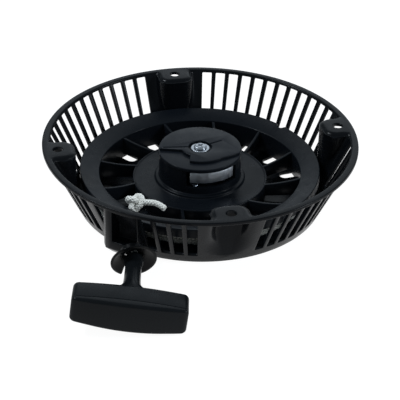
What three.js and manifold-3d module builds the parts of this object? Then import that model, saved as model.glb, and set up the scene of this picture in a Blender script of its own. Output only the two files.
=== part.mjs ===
// Recoil starter for a small vertical-shaft engine, in millimetres, +Z up.
// The closed face of the housing lies on z = 0 and the pulley turns about the Z axis.
// The open side, which bolts to the engine, faces up, and the pull handle points along -Y.
import * as THREE from "three";
import { mergeVertices } from "three/addons/utils/BufferGeometryUtils.js";
import Module from "manifold-3d";

const wasm = await Module();
wasm.setup();

// ---- clearances -------------------------------------------------------------------------
const runGap = 0.15; // radial gap of a part that turns on another
const seatGap = 0.3; // gap between parts that rest on or in each other
const airGap = 0.7; // room between a turning part and the wall beside it

// ---- housing ----------------------------------------------------------------------------
const rimRadius = 110; // outer edge of the lip round the open side
const housingHeight = 45.5;
const lipWidth = 2.2; // of the lip outside the wall
const lipInset = 2.6; // of the lip inside the wall's outer face
const wallFlare = 21; // by which the conical wall is wider at the lip than at the closed face
const wallTopRadius = rimRadius - lipWidth;
const wallBaseRadius = wallTopRadius - wallFlare;
const wall = 2.2;
const lipThickness = 2.2;
const lipInnerRadius = wallTopRadius - lipInset;
const floorThickness = 2.4;
const baseEdge = 1.6; // rounding of the edge that the housing stands on
const wallSteps = 60; // flats round the conical wall

// fixing towers for the screws that hold the starter to the engine
const earCount = 4;
const earAngle = 11.86; // degrees from +X to the first tower
const boltInset = 10.5; // from the rim to a screw hole's centre
const boltRadius = rimRadius - boltInset;
const earRadius = 11.5; // outside of a tower
const earWall = 2;
const earTop = 3;
const earFlank = 4.6; // hollow fillet between a tower and the wall
const screwHoleRadius = 3.4;

// air slots in the wall
const slotsPerQuarter = 12;
const slotStart = 14.2; // degrees from a tower to the first slot
const slotPitch = 5.6;
const slotWidth = 3.9; // degrees
const slotBottom = 7.5;
const slotTopMargin = 2.7; // solid band between the slots and the lip's top

// air vents in the closed face
const ventCount = 18;
const ventLength = 17;
const ventInset = 7.8; // from the wall's foot to the outer end of a vent
const ventWidth = 8;
const ventOuterRadius = wallBaseRadius - ventInset;
const ventInnerRadius = ventOuterRadius - ventLength;

// boss round the rope outlet
const bossFrom = 235.4; // degrees, at its outer face
const bossTo = 248.8;
const bossInset = 1.4; // from the rim to the boss's outer face
const bossRadius = rimRadius - bossInset;
const bossRoot = wallBaseRadius - 2.8; // radius at which its sides start
const bossFlare = 12; // degrees by which the side that the rope comes along starts earlier
const bossBottom = 4.4;
const bossSlope = 9; // height and depth of the slant at its lower outer edge
const nicheFrom = 239.2;
const nicheTo = 248;
const nicheDepth = 8;
const nicheBottom = 18;
const nicheTop = 41.6;

// ---- centre post and its screw ----------------------------------------------------------
const postRadius = 8;
const collarStep = 5.5; // of the collar that the rewind spring hooks onto
const collarRadius = postRadius + collarStep;
const collarTop = 10.8;
const postTop = 24.4;
const neckRadius = 5.8;
const screwRadius = 2.4;
const insertRadius = 4.4;
const insertBottom = 20;
const washerThickness = 0.9;
const screwHeadRadius = 4.5;
const screwHeadHeight = 1.9;

// ---- rope -------------------------------------------------------------------------------
const ropeRadius = 2.15;
const wraps = 3; // turns of rope that lie side by side in the groove
const knotRadius = 6.2; // of the knot on the rope's inner end
const ropeRunSteps = 16;
const ropeRunSides = 10;
const exitGap = 31; // degrees of the lowest turn that the leaving rope takes up

// ---- pulley -----------------------------------------------------------------------------
const flangeInset = 2.3; // from the wall's foot to the flange's edge
const grooveDepth = 10.9;
const grooveWall = 2.6;
const flangeRadius = wallBaseRadius - flangeInset;
const grooveRadius = flangeRadius - grooveDepth; // bottom of the rope groove
const flangeRise = 4; // the upper flange climbs by this much towards its edge
const flangeThickness = 1.6;
const skirtDrop = 6.6; // height of the skirt round the upper flange's edge
const pocketRadius = grooveRadius - grooveWall; // outside of the pockets between the ribs
const deckRadius = 47.5; // outside of the cup that holds the rewind spring
const cupWall = 2.2;
const deckTop = 14.2;
const deckThickness = 2.3;
const ribCount = 12;
const ribAngle = 22.5; // degrees from +X to the first rib
const ribLean = 7; // degrees that a rib's inner end trails its outer end
const ribThickness = 2;
const ribBottom = 6;
const ropeKnotAngle = 232.5; // the rib here is left out, to give the knot a pocket
const notchAngle = 44.5;
const notchRadius = 3.2;

// ---- drive hub on the pulley --------------------------------------------------------------
const hubRadius = 28.9;
const hubWall = 2.7;
const hubFloor = 17.2;
const hubTop = 33;
const beadWidth = 2.6;
const beadRadius = hubRadius + beadWidth;
const beadHeight = 1.6;
const bushWall = 1.35;
const bushRadius = postRadius + runGap + bushWall;
const hubBossWall = 3;
const bossOuterRadius = bushRadius + hubBossWall + 0.1;
const bossTop = 24;
const windowFrom = 251; // degrees
const windowTo = 329;
const windowBottom = 21.5;

// ---- pawl and cam plate -------------------------------------------------------------------
const pawlFrom = 256;
const pawlTo = 323;
const pawlBottom = 24.8;
const pawlTop = 32.8;
const pawlInset = 0.5; // from the hub's outside to the folded pawl
const pawlWidth = 5.8;
const pawlHeel = 1.6; // by which the pawl is wider at its pin
const pawlOuterRadius = hubRadius - pawlInset;
const pawlInnerRadius = pawlOuterRadius - pawlWidth;
const pinAngle = 262;
const pinRadius = 1.5;
const pinBossRadius = 3.4;
const pinDistance = pawlInnerRadius + 2.4;
const camOverhang = 0.4;
const camRadius = hubRadius + camOverhang;
const camThickness = 2.7;
const camRaise = 1.9;
const camBoreRadius = 8.2; // recess round the screw's washer
const camPegAngle = 310;
const camPegRadius = 1.6;
const camPegDistance = pawlInnerRadius - camPegRadius - 2;
const camFaceInset = 0.7; // from the plate's edge to its raised face
const camStep = 15.8; // by which the raised face steps in, deep part
const camShelf = 8.5; // by which it steps in, shallow part

// ---- rewind spring ------------------------------------------------------------------------
const springThickness = 0.7;
const springTurns = 7;
const springBottom = 4.7;
const keeperThickness = 0.7;
const hookSlotWidth = 1.6; // of the slot in the collar for the spring's inner hook
const brakeWireRadius = 0.7;
const pawlWireRadius = 0.4;

// ---- rope outlet and handle ---------------------------------------------------------------
const outletAngle = 249.12; // degrees, round the axis
const outletInset = 2.5; // from the rim to the front plane of the guide's dish
const outletZ = 14.6;
const dishRadius = 15;
const dishTilt = 18; // degrees that the dish looks down, along the wall's slope
const dishYaw = 12; // degrees that it is turned towards +X, along the boss's outer face
const dishDepth = 4.6;
const dishWall = 1.6;
const throatRadius = 6;
const sleeveLength = 9;
const dishSlotAngle = 248; // degrees, round the dish
const dishSlotWidth = 4.6;
const gripOffset = 38; // from the dish's plane to the grip
const gripLength = 71;
const gripHeight = 16.4; // at its ends
const gripArch = 1.8; // by which it bows up, and down, at its middle
const gripDepth = 17;
const capDepth = 6; // of the cap over the grip's outer face, at its middle
const capEndDepth = 2.6;
const gripRoll = -7; // degrees that the grip is turned on the rope
const handleNeckRadius = 5.3;
const webReach = 18; // half the width of the webs where they meet the grip
const webLength = 11;
const webThickness = 9;
const neckBore = 2.7;
const outerKnotRadius = 3.4;
const knotPocketRadius = 6.4;

const radians = THREE.MathUtils.degToRad;
const outletY = outletInset - rimRadius;
const outletX = outletY / Math.tan(radians(outletAngle));
const wallRadiusAt = (z) =>
  wallBaseRadius + ((wallTopRadius - wallBaseRadius) * z) / housingHeight;

// ---- shapes -------------------------------------------------------------------------------

// A closed geometry as a solid that can be joined and cut.
function solid(geometry) {
  const bare = new THREE.BufferGeometry();
  const loose = geometry.index ? geometry.toNonIndexed() : geometry;
  bare.setAttribute("position", loose.getAttribute("position"));
  const merged = mergeVertices(bare, 1e-4);
  return new wasm.Manifold(
    new wasm.Mesh({
      numProp: 3,
      vertProperties: merged.attributes.position.array,
      triVerts: new Uint32Array(merged.index.array),
    }),
  );
}

function geometryOf(body) {
  const mesh = body.getMesh();
  const geometry = new THREE.BufferGeometry();
  geometry.setAttribute("position", new THREE.BufferAttribute(mesh.vertProperties, 3));
  geometry.setIndex(new THREE.BufferAttribute(mesh.triVerts, 1));
  return geometry;
}

const joined = (...bodies) => bodies.reduce((all, next) => all.add(next));

// A profile of [radius, z] corners, anticlockwise with z up, turned about the Z axis.
function turned(profile, segments = 64) {
  const points = [...profile, profile[0]].map(([r, z]) => new THREE.Vector2(r, z));
  return new THREE.LatheGeometry(points, segments).rotateX(Math.PI / 2);
}

function rod(radius, bottom, top, segments = 32) {
  const geometry = new THREE.CylinderGeometry(radius, radius, top - bottom, segments);
  return geometry.rotateX(Math.PI / 2).translate(0, 0, (bottom + top) / 2);
}

function ring(inner, outer, bottom, top, segments = 64) {
  return turned([[inner, bottom], [outer, bottom], [outer, top], [inner, top]], segments);
}

// A block that fills the angles from one to another, between two radii and two heights.
function sector(inner, outer, from, to, bottom, top, steps = 1) {
  const shape = new THREE.Shape();
  const at = (radius, share) => {
    const angle = radians(from + (to - from) * share);
    return [radius * Math.cos(angle), radius * Math.sin(angle)];
  };
  shape.moveTo(...at(inner, 0));
  for (let i = 0; i <= steps; i++) shape.lineTo(...at(outer, i / steps));
  for (let i = steps; i > 0; i--) shape.lineTo(...at(inner, i / steps));
  return raised(shape, bottom, top);
}

function raised(shape, bottom, top, curveSegments = 12) {
  const options = { depth: top - bottom, bevelEnabled: false, curveSegments };
  return new THREE.ExtrudeGeometry(shape, options).translate(0, 0, bottom);
}

// Moves a geometry from the +X axis to an angle about Z.
const atAngle = (geometry, degrees) => geometry.rotateZ(radians(degrees));

// A round-ended bar of radius along +X, from one distance to another.
function slotShape(from, to, width) {
  const half = width / 2;
  const shape = new THREE.Shape();
  shape.absarc(from + half, 0, half, Math.PI / 2, -Math.PI / 2, false);
  shape.absarc(to - half, 0, half, -Math.PI / 2, Math.PI / 2, false);
  shape.closePath();
  return shape;
}

// A round wire or rope along a curve.
function wire(curve, radius, steps, sides = 8) {
  const section = new THREE.Shape();
  for (let i = 0; i < sides; i++) {
    const angle = (2 * Math.PI * i) / sides;
    const point = [radius * Math.cos(angle), radius * Math.sin(angle)];
    if (i === 0) section.moveTo(...point);
    else section.lineTo(...point);
  }
  section.closePath();
  return new THREE.ExtrudeGeometry(section, { steps, extrudePath: curve, bevelEnabled: false });
}

const smoothCurve = (points) =>
  new THREE.CatmullRomCurve3(points.map((p) => new THREE.Vector3(...p)));

// Points of a helix about an axis that is parallel to Z.
function helixPoints(x, y, radius, bottom, top, turns, perTurn = 12, phase = 0) {
  const points = [];
  const count = Math.round(turns * perTurn);
  for (let i = 0; i <= count; i++) {
    const angle = radians(phase) + (2 * Math.PI * turns * i) / count;
    const z = bottom + ((top - bottom) * i) / count;
    points.push([x + radius * Math.cos(angle), y + radius * Math.sin(angle), z]);
  }
  return points;
}

// ---- housing ------------------------------------------------------------------------------

function housingShell() {
  const lipBottom = housingHeight - lipThickness;
  const innerBase = wallRadiusAt(floorThickness) - wall;
  const neckTop = camSeat() + seatGap / 2;
  return turned(
    [
      [0, 0],
      [wallBaseRadius - baseEdge, 0],
      [wallRadiusAt(baseEdge), baseEdge],
      [wallRadiusAt(lipBottom), lipBottom],
      [rimRadius, lipBottom],
      [rimRadius, housingHeight],
      [lipInnerRadius, housingHeight],
      [wallRadiusAt(lipBottom - wall) - wall, lipBottom - wall],
      [innerBase + 1, floorThickness + 2],
      [innerBase - 1.5, floorThickness],
      [collarRadius, floorThickness],
      [collarRadius, collarTop],
      [postRadius, collarTop],
      [postRadius, postTop],
      [neckRadius, postTop],
      [neckRadius, neckTop],
      [insertRadius + runGap, neckTop],
      [insertRadius + runGap, insertBottom - seatGap],
      [0, insertBottom - seatGap],
    ],
    wallSteps,
  );
}

// The room inside the conical wall.
function housingInside() {
  const at = (z) => [wallRadiusAt(z) - wall, z];
  return turned([[0, 0], at(0), at(housingHeight + 1), [0, housingHeight + 1]], wallSteps);
}

// The outside of the housing as a plain cone, which trims what is added to the wall.
function housingOutline() {
  return turned([
    [0, 0],
    [wallBaseRadius - baseEdge, 0],
    [wallRadiusAt(baseEdge), baseEdge],
    [wallTopRadius, housingHeight],
    [0, housingHeight],
  ], wallSteps);
}

// The boss in plan, between its root and an outer radius, set in from its sides by an angle.
function bossBlock(root, outer, inset, bottom, top) {
  const shape = new THREE.Shape();
  const corner = (radius, degrees) => [
    radius * Math.cos(radians(degrees)),
    radius * Math.sin(radians(degrees)),
  ];
  shape.moveTo(...corner(root, bossFrom - bossFlare + inset));
  shape.lineTo(...corner(outer - 2, bossFrom + inset));
  shape.lineTo(...corner(outer, bossFrom + 1.3 + inset));
  shape.lineTo(...corner(outer, (bossFrom + bossTo) / 2));
  shape.lineTo(...corner(outer, bossTo - inset));
  shape.lineTo(...corner(root, bossTo - inset));
  shape.closePath();
  const slanted = turned(
    [
      [root - 2, bottom],
      [outer - bossSlope, bottom],
      [outer, bottom + bossSlope],
      [outer + 1, top],
      [root - 2, top],
    ],
    wallSteps,
  );
  return solid(raised(shape, bottom, top)).intersect(solid(slanted));
}

// A screw tower in plan, drawn on the +X axis, with a hollow fillet at each side of its root.
function ear(radius, bottom, top, reach, flank = 0) {
  const root = Math.sqrt(lipInnerRadius ** 2 - radius ** 2);
  const shape = new THREE.Shape();
  shape.moveTo(reach, -radius - flank);
  shape.lineTo(reach, radius + flank);
  if (flank > 0) {
    shape.lineTo(root, radius + flank);
    shape.quadraticCurveTo(root, radius, root - flank, radius);
  }
  shape.lineTo(boltRadius, radius);
  shape.absarc(boltRadius, 0, radius, Math.PI / 2, (3 * Math.PI) / 2, false);
  if (flank > 0) {
    shape.lineTo(root - flank, -radius);
    shape.quadraticCurveTo(root, -radius, root, -radius - flank);
  }
  shape.closePath();
  return raised(shape, bottom, top, 8);
}

function slotAngles() {
  const angles = [];
  for (let quarter = 0; quarter < earCount; quarter++) {
    for (let i = 0; i < slotsPerQuarter; i++) {
      const angle = earAngle + (360 / earCount) * quarter + slotStart + slotPitch * i;
      const besideBoss = angle > bossFrom - 10 && angle < bossTo + slotWidth / 2;
      if (!besideBoss) angles.push(angle);
    }
  }
  return angles;
}

function starterHousing() {
  const outline = solid(housingOutline());
  let body = solid(housingShell());
  const earAngles = Array.from({ length: earCount }, (_, i) => earAngle + (360 / earCount) * i);
  for (const angle of earAngles) {
    const tower = solid(atAngle(ear(earRadius, 1, housingHeight, rimRadius, earFlank), angle));
    body = body.add(tower.intersect(outline));
  }
  const boss = bossBlock(bossRoot, bossRadius, 0, bossBottom, housingHeight - 0.4);
  body = body.add(boss.subtract(solid(housingInside())));

  const cuts = [];
  // the boss is hollow, so that the rope can cross it
  const innerRoot = bossRoot - 4;
  const hollowBottom = bossBottom + wall;
  const niche = solid(
    sector(bossRadius - nicheDepth, rimRadius + 5, nicheFrom, nicheTo, nicheBottom, nicheTop, 4),
  );
  cuts.push(
    bossBlock(innerRoot, bossRadius - nicheDepth - wall, 1.4, hollowBottom, nicheTop),
    bossBlock(innerRoot, bossRadius - wall, 1.4, hollowBottom, nicheBottom - wall),
    niche.subtract(outline),
    outletBore(),
    solid(wire(ropeRunCurve(), ropeRadius + seatGap, ropeRunSteps, ropeRunSides)),
  );
  for (const angle of earAngles) {
    const reach = rimRadius + 15;
    cuts.push(solid(atAngle(ear(earRadius - earWall, -1, housingHeight - earTop, reach), angle)));
    const hole = rod(screwHoleRadius, housingHeight - earTop - 2, housingHeight + 2, 24);
    cuts.push(solid(atAngle(hole.translate(boltRadius, 0, 0), angle)));
  }
  for (const angle of slotAngles()) {
    const top = housingHeight - slotTopMargin;
    const half = slotWidth / 2;
    const inner = wallBaseRadius - wall - 5;
    cuts.push(solid(sector(inner, rimRadius + 10, angle - half, angle + half, slotBottom, top)));
  }
  for (let i = 0; i < ventCount; i++) {
    const vent = raised(slotShape(ventInnerRadius, ventOuterRadius, ventWidth), -1, 3, 4);
    cuts.push(solid(atAngle(vent, (360 / ventCount) * i)));
  }
  // the slot in the collar that holds the rewind spring's inner hook
  const hook = new THREE.BoxGeometry(5, hookSlotWidth, collarTop - floorThickness + 1);
  cuts.push(solid(hook.translate(collarRadius - 1, 0, (collarTop + floorThickness) / 2 + 0.6)));
  return geometryOf(body.subtract(joined(...cuts)));
}

// ---- rope outlet --------------------------------------------------------------------------

// Puts a shape drawn about +Z, with its front at z = 0, in the outlet, looking out and down.
const inOutlet = (geometry) =>
  geometry
    .rotateX(Math.PI / 2 + radians(dishTilt))
    .rotateZ(radians(dishYaw))
    .translate(outletX, outletY, outletZ);

function outletBore() {
  const radius = throatRadius + dishWall + seatGap;
  return solid(
    inOutlet(
      turned(
        [
          [0, -sleeveLength - 8],
          [radius, -sleeveLength - 8],
          [radius, -dishDepth - 0.6],
          [dishRadius + seatGap, -1.9],
          [dishRadius + seatGap, 9],
          [0, 9],
        ],
        36,
      ),
    ),
  );
}

function ropeGuide() {
  const sleeve = throatRadius + dishWall;
  const dish = turned(
    [
      [throatRadius, -sleeveLength],
      [sleeve, -sleeveLength],
      [sleeve, -dishDepth],
      [dishRadius - 1, -1.4],
      [dishRadius, -0.6],
      [dishRadius, 0],
      [dishRadius - 1.6, 0.2],
      [sleeve, -dishDepth + dishWall + 0.6],
      [throatRadius, -dishDepth + dishWall],
    ],
    36,
  );
  // the slot through which the rope can be laid into the dish
  const slot = new THREE.BoxGeometry(dishRadius, dishSlotWidth, 12);
  slot.translate(dishRadius / 2 + sleeve + 0.5, 0, 0).rotateZ(radians(dishSlotAngle));
  return geometryOf(solid(inOutlet(dish)).subtract(solid(inOutlet(slot))));
}

// ---- centre screw, washers and insert -----------------------------------------------------

const camBottom = () => hubTop + seatGap;
const camSeat = () => camBottom() + camThickness; // floor of the recess round the screw

function postInsert() {
  return ring(screwRadius + runGap, insertRadius, insertBottom, camSeat(), 32);
}

function screwWasher() {
  const bottom = camSeat() + seatGap / 2 + 0.1;
  return ring(screwRadius + runGap, camBoreRadius - 1.7, bottom, bottom + washerThickness, 40);
}

function centerScrew() {
  const bottom = camSeat() + seatGap / 2 + washerThickness + 0.2;
  const top = bottom + screwHeadHeight;
  const body = turned(
    [
      [0, insertBottom + 1],
      [screwRadius, insertBottom + 2],
      [screwRadius, bottom],
      [screwHeadRadius, bottom],
      [screwHeadRadius, bottom + 0.7],
      [screwHeadRadius - 0.6, top - 0.4],
      [screwHeadRadius - 1.7, top],
      [0, top],
    ],
    32,
  );
  const bar = () => new THREE.BoxGeometry(4.6, 1, 2.4).translate(0, 0, top);
  const cross = solid(bar()).add(solid(bar().rotateZ(Math.PI / 2)));
  return geometryOf(solid(body).subtract(cross));
}

const thrustWasher = () =>
  ring(postRadius + runGap, collarRadius - 0.5, collarTop + 0.1, collarTop + 0.9, 48);

const hubWasher = () =>
  ring(neckRadius + seatGap, bossOuterRadius - 0.6, postTop + 0.1, postTop + 0.9, 48);

function brakeSpring() {
  const bottom = postTop + 0.9 + seatGap + brakeWireRadius;
  const top = camBottom() - seatGap - brakeWireRadius;
  const curve = smoothCurve(helixPoints(0, 0, neckRadius + 2.4, bottom, top, 3));
  return wire(curve, brakeWireRadius, 40, 6);
}

// ---- pulley -------------------------------------------------------------------------------

const grooveBottom = () => floorThickness + airGap + flangeThickness;
const grooveTop = () => grooveBottom() + 2 * wraps * ropeRadius + 2 * seatGap;
const flangeTop = () => grooveTop() + flangeThickness + flangeRise;

function pulleyRim() {
  const low = grooveBottom();
  const high = grooveTop();
  return turned(
    [
      [pocketRadius, low - flangeThickness],
      [flangeRadius - 1.3, low - flangeThickness],
      [flangeRadius - 1.3, low],
      [grooveRadius, low],
      [grooveRadius, high],
      [flangeRadius - flangeThickness, flangeTop() - flangeThickness - 0.3],
      [flangeRadius - flangeThickness, flangeTop() - skirtDrop],
      [flangeRadius, flangeTop() - skirtDrop],
      [flangeRadius, flangeTop()],
      [pocketRadius, flangeTop() - flangeRise],
    ],
    72,
  );
}

function pulleyHub() {
  const deckBottom = deckTop - deckThickness;
  const cupBottom = floorThickness + airGap + keeperThickness + 0.2;
  const inner = bushRadius + 0.1;
  return turned(
    [
      [inner, deckBottom],
      [deckRadius - cupWall, deckBottom],
      [deckRadius - cupWall, cupBottom],
      [deckRadius, cupBottom],
      [deckRadius, deckTop + 1],
      [deckRadius - 1.5, deckTop],
      [beadRadius, deckTop],
      [beadRadius, deckTop + beadHeight],
      [hubRadius, deckTop + beadHeight + 0.4],
      [hubRadius, hubTop],
      [hubRadius - hubWall, hubTop],
      [hubRadius - hubWall, hubFloor],
      [bossOuterRadius, hubFloor],
      [bossOuterRadius, bossTop],
      [inner, bossTop],
    ],
    48,
  );
}

// One leaning rib from the deck to the rim, with its top edge on the dished face.
function rib(angle) {
  const polar = (radius, degrees) =>
    new THREE.Vector3(radius * Math.cos(radians(degrees)), radius * Math.sin(radians(degrees)), 0);
  const inner = polar(deckRadius - 1, angle - ribLean);
  const outer = polar(pocketRadius + 1, angle);
  const along = outer.clone().sub(inner);
  const length = along.length();
  const outerTop = flangeTop() - flangeRise - 0.2;
  const shape = new THREE.Shape();
  shape.moveTo(0, ribBottom);
  shape.lineTo(length, ribBottom);
  shape.lineTo(length, outerTop);
  shape.lineTo(0, deckTop + 0.6);
  shape.closePath();
  const options = { depth: ribThickness, bevelEnabled: false };
  const plate = new THREE.ExtrudeGeometry(shape, options).translate(0, 0, -ribThickness / 2);
  const heading = Math.atan2(along.y, along.x);
  return plate
    .rotateX(Math.PI / 2)
    .rotateZ(heading)
    .translate(inner.x, inner.y, 0);
}

const pinPlace = () => [
  pinDistance * Math.cos(radians(pinAngle)),
  pinDistance * Math.sin(radians(pinAngle)),
];

function ropePulley() {
  let body = solid(pulleyRim()).add(solid(pulleyHub()));
  for (let i = 0; i < ribCount; i++) {
    const angle = ribAngle + (360 / ribCount) * i;
    if (Math.abs(angle - ropeKnotAngle) > 1) body = body.add(solid(rib(angle)));
  }
  const [x, y] = pinPlace();
  body = body.add(solid(rod(pinBossRadius, hubFloor - 1, windowBottom - seatGap, 20).translate(x, y, 0)));

  const lead = ropeLeadIn();
  const cuts = [
    solid(sector(hubRadius - hubWall - 1, hubRadius + 4, windowFrom, windowTo,
      windowBottom, hubTop + 1, 10)),
    solid(rod(pinRadius + runGap, hubFloor - 2, windowBottom + 1, 20).translate(x, y, 0)),
    solid(atAngle(rod(notchRadius, flangeTop() - 7, flangeTop() + 2, 24)
      .translate(flangeRadius + 0.6, 0, 0), notchAngle)),
    // the hole in the groove's wall that the rope's inner end comes through
    solid(atAngle(rod(ropeRadius + seatGap, pocketRadius - 3, grooveRadius + 2, 20)
      .rotateY(Math.PI / 2).translate(0, 0, lead.z), lead.angle)),
    // the notch in the cup that holds the rewind spring's outer hook
    solid(new THREE.BoxGeometry(6, 1.8, 7.6).translate(deckRadius, 0, springBottom + 2.9)),
  ];
  return geometryOf(body.subtract(joined(...cuts)));
}

const pulleyBushing = () =>
  ring(postRadius + runGap, bushRadius, deckTop - deckThickness + seatGap, bossTop - 0.1, 64);

function springKeeper() {
  const bottom = floorThickness + airGap;
  return ring(collarRadius + 1.5, deckRadius - 0.5, bottom, bottom + keeperThickness, 72);
}

// A flat strip wound outwards from the collar to the cup, with a hook at each end.
function rewindSpring() {
  const inner = collarRadius + 1.1;
  const outer = deckRadius - cupWall - 0.6;
  const perTurn = 24;
  const count = springTurns * perTurn;
  const centre = [[collarRadius - 1.6, 0]];
  for (let i = 0; i <= count; i++) {
    const angle = (2 * Math.PI * springTurns * i) / count;
    const radius = inner + ((outer - inner) * i) / count;
    centre.push([radius * Math.cos(angle), radius * Math.sin(angle)]);
  }
  centre.push([deckRadius - 0.4, 0.25]);
  const half = springThickness / 2;
  const sides = [[], []];
  centre.forEach(([x, y], i) => {
    const before = centre[Math.max(0, i - 1)];
    const after = centre[Math.min(centre.length - 1, i + 1)];
    const run = Math.hypot(after[0] - before[0], after[1] - before[1]);
    const normal = [(after[1] - before[1]) / run, (before[0] - after[0]) / run];
    sides[0].push([x + normal[0] * half, y + normal[1] * half]);
    sides[1].unshift([x - normal[0] * half, y - normal[1] * half]);
  });
  const shape = new THREE.Shape();
  const outline = [...sides[0], ...sides[1]];
  shape.moveTo(...outline[0]);
  outline.slice(1).forEach((point) => shape.lineTo(...point));
  shape.closePath();
  return raised(shape, springBottom, collarTop - seatGap);
}

// ---- pawl, its pin and spring, and the cam plate -----------------------------------------------

function pawl() {
  let body = solid(sector(pawlInnerRadius, pawlOuterRadius, pawlFrom, pawlTo,
    pawlBottom, pawlTop, 12));
  const heelRadius = pawlInnerRadius - pawlHeel;
  body = body.add(solid(sector(heelRadius, pawlInnerRadius + 1, pinAngle + 5, pinAngle + 17,
    pawlBottom, pawlTop, 3)));
  // the tip is cut back on a slant, to catch the engine's starter cup
  const tip = new THREE.BoxGeometry(9, 6, 12);
  tip.translate(pawlInnerRadius - 2.6, 3.6, (pawlBottom + pawlTop) / 2);
  atAngle(tip, pawlTo - 3);
  const [x, y] = pinPlace();
  const hole = rod(pinRadius + runGap, pawlBottom - 1, pawlTop + 1, 20).translate(x, y, 0);
  return geometryOf(body.subtract(solid(tip)).subtract(solid(hole)));
}

function pawlPin() {
  const [x, y] = pinPlace();
  return rod(pinRadius, hubFloor - 1.8, pawlTop - 0.2, 20).translate(x, y, 0);
}

function pawlSpring() {
  const [x, y] = pinPlace();
  const bottom = windowBottom + pawlWireRadius;
  const top = pawlBottom - seatGap - pawlWireRadius;
  const coil = helixPoints(x, y, pinRadius + 0.9, bottom, top, 2.5, 10, 250);
  const angle = radians(pinAngle + 48);
  const reach = pawlOuterRadius - 1;
  const leg = [reach * Math.cos(angle), reach * Math.sin(angle), pawlBottom - 1.1];
  return wire(smoothCurve([...coil, leg]), pawlWireRadius, 36, 6);
}

// The raised face of the cam plate is whole at the back and stepped in at the front.
function camFace() {
  const outer = camRadius - camFaceInset;
  const deep = camRadius - camStep;
  const shallow = camRadius - camShelf;
  const shape = new THREE.Shape();
  const point = (radius, degrees) => [
    radius * Math.cos(radians(degrees)),
    radius * Math.sin(radians(degrees)),
  ];
  shape.moveTo(...point(outer, -15));
  shape.absarc(0, 0, outer, radians(-15), radians(187), false);
  shape.lineTo(...point(deep, 200));
  shape.absarc(0, 0, deep, radians(200), radians(240), false);
  shape.lineTo(...point(shallow, 250));
  shape.absarc(0, 0, shallow, radians(250), radians(315), false);
  shape.lineTo(...point(shallow + 1.7, 324));
  shape.closePath();
  return shape;
}

function camPlate() {
  const bottom = camBottom();
  const top = camSeat();
  const face = top + camRaise;
  let body = solid(turned([
    [0, bottom],
    [camRadius - 0.5, bottom],
    [camRadius, bottom + 0.5],
    [camRadius, top - 0.4],
    [camRadius - 0.4, top],
    [0, top],
  ], 48));
  body = body.add(solid(raised(camFace(), top - 0.5, face, 24)));
  const peg = rod(camPegRadius, pawlBottom + 1, bottom + 1, 16).translate(camPegDistance, 0, 0);
  body = body.add(solid(atAngle(peg, camPegAngle)));
  const groove = (from, to, angle) =>
    solid(atAngle(new THREE.BoxGeometry(to - from, 1, 1.6)
      .translate((from + to) / 2, 0, face), angle));
  return geometryOf(
    body.subtract(
      joined(
        solid(rod(camBoreRadius, top, face + 2, 40)),
        solid(rod(neckRadius + runGap, bottom - 1, top + 1, 40)),
        groove(camBoreRadius - 1, 18, 32),
        groove(camBoreRadius - 1, 26, 184),
      ),
    ),
  );
}

// ---- rope -----------------------------------------------------------------------------------

// The wound rope: turns that lie side by side on the bottom of the groove.
function ropeCoil() {
  const inner = grooveRadius + seatGap;
  const bottom = grooveBottom() + seatGap;
  const arcSteps = 3;
  const profile = [];
  // up the outside, round each turn in its own arc, then down the flat inside
  for (let turn = 0; turn < wraps; turn++) {
    const centre = bottom + ropeRadius * (2 * turn + 1);
    const first = turn === 0 ? -90 : -66;
    const last = turn === wraps - 1 ? 90 : 66;
    for (let i = 0; i <= arcSteps; i++) {
      const angle = radians(first + ((last - first) * i) / arcSteps);
      profile.push([
        inner + ropeRadius + ropeRadius * Math.cos(angle),
        centre + ropeRadius * Math.sin(angle),
      ]);
    }
  }
  profile.push([inner, bottom + ropeRadius * (2 * wraps - 0.4)]);
  profile.push([inner, bottom + ropeRadius * 0.4]);
  const coil = solid(turned(profile, 60));
  // the lowest turn ends where the rope leaves for the outlet
  const { angle } = ropeRunEnds();
  const high = bottom + 2 * ropeRadius + seatGap;
  const clear = inner + 3 * ropeRadius;
  const gap = sector(grooveRadius - 1, clear, angle, angle + exitGap, bottom - 1, high, 4);
  return geometryOf(coil.subtract(solid(gap)));
}

const ropeLeadIn = () => ({
  angle: ropeKnotAngle - 4,
  z: grooveBottom() + seatGap + ropeRadius * (2 * wraps - 1),
});

// The knot that stops the rope's inner end in its pocket, with the cut end sticking out.
function innerKnot() {
  const lead = ropeLeadIn();
  const angle = radians(lead.angle);
  const distance = pocketRadius - 7;
  const x = distance * Math.cos(angle);
  const y = distance * Math.sin(angle);
  const z = deckTop + 1 + seatGap + knotRadius; // it lies just above the deck
  const ball = solid(
    new THREE.IcosahedronGeometry(knotRadius, 2).scale(1.1, 0.95, 1).translate(x, y, z),
  );
  const stub = rod(ropeRadius, distance + 3, grooveRadius - seatGap, 12).rotateY(Math.PI / 2);
  stub.translate(0, 0, lead.z);
  const tail = wire(
    smoothCurve([
      [x, y, z + 1],
      [x + 8, y + 0.4, z + 1.2],
      [x + 15, y - 0.4, z + 0.2],
      [x + 21, y - 1.6, z - 1.2],
    ]),
    ropeRadius, 8, 10,
  );
  return geometryOf(joined(ball, solid(atAngle(stub, lead.angle)), solid(tail)));
}

const ropeCentreRadius = () => grooveRadius + seatGap + ropeRadius;

// Where the rope leaves the lowest turn, as an angle in degrees, and where it enters the guide.
function ropeRunEnds() {
  const radius = ropeCentreRadius();
  const throat = new THREE.Vector3(outletX, outletY + sleeveLength, outletZ + 1);
  const swing = Math.acos(radius / Math.hypot(throat.x, throat.y));
  const angle = Math.atan2(throat.y, throat.x) - swing;
  const z = grooveBottom() + seatGap + ropeRadius;
  const start = new THREE.Vector3(radius * Math.cos(angle), radius * Math.sin(angle), z);
  return { start, throat, angle: THREE.MathUtils.radToDeg(angle) };
}

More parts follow.
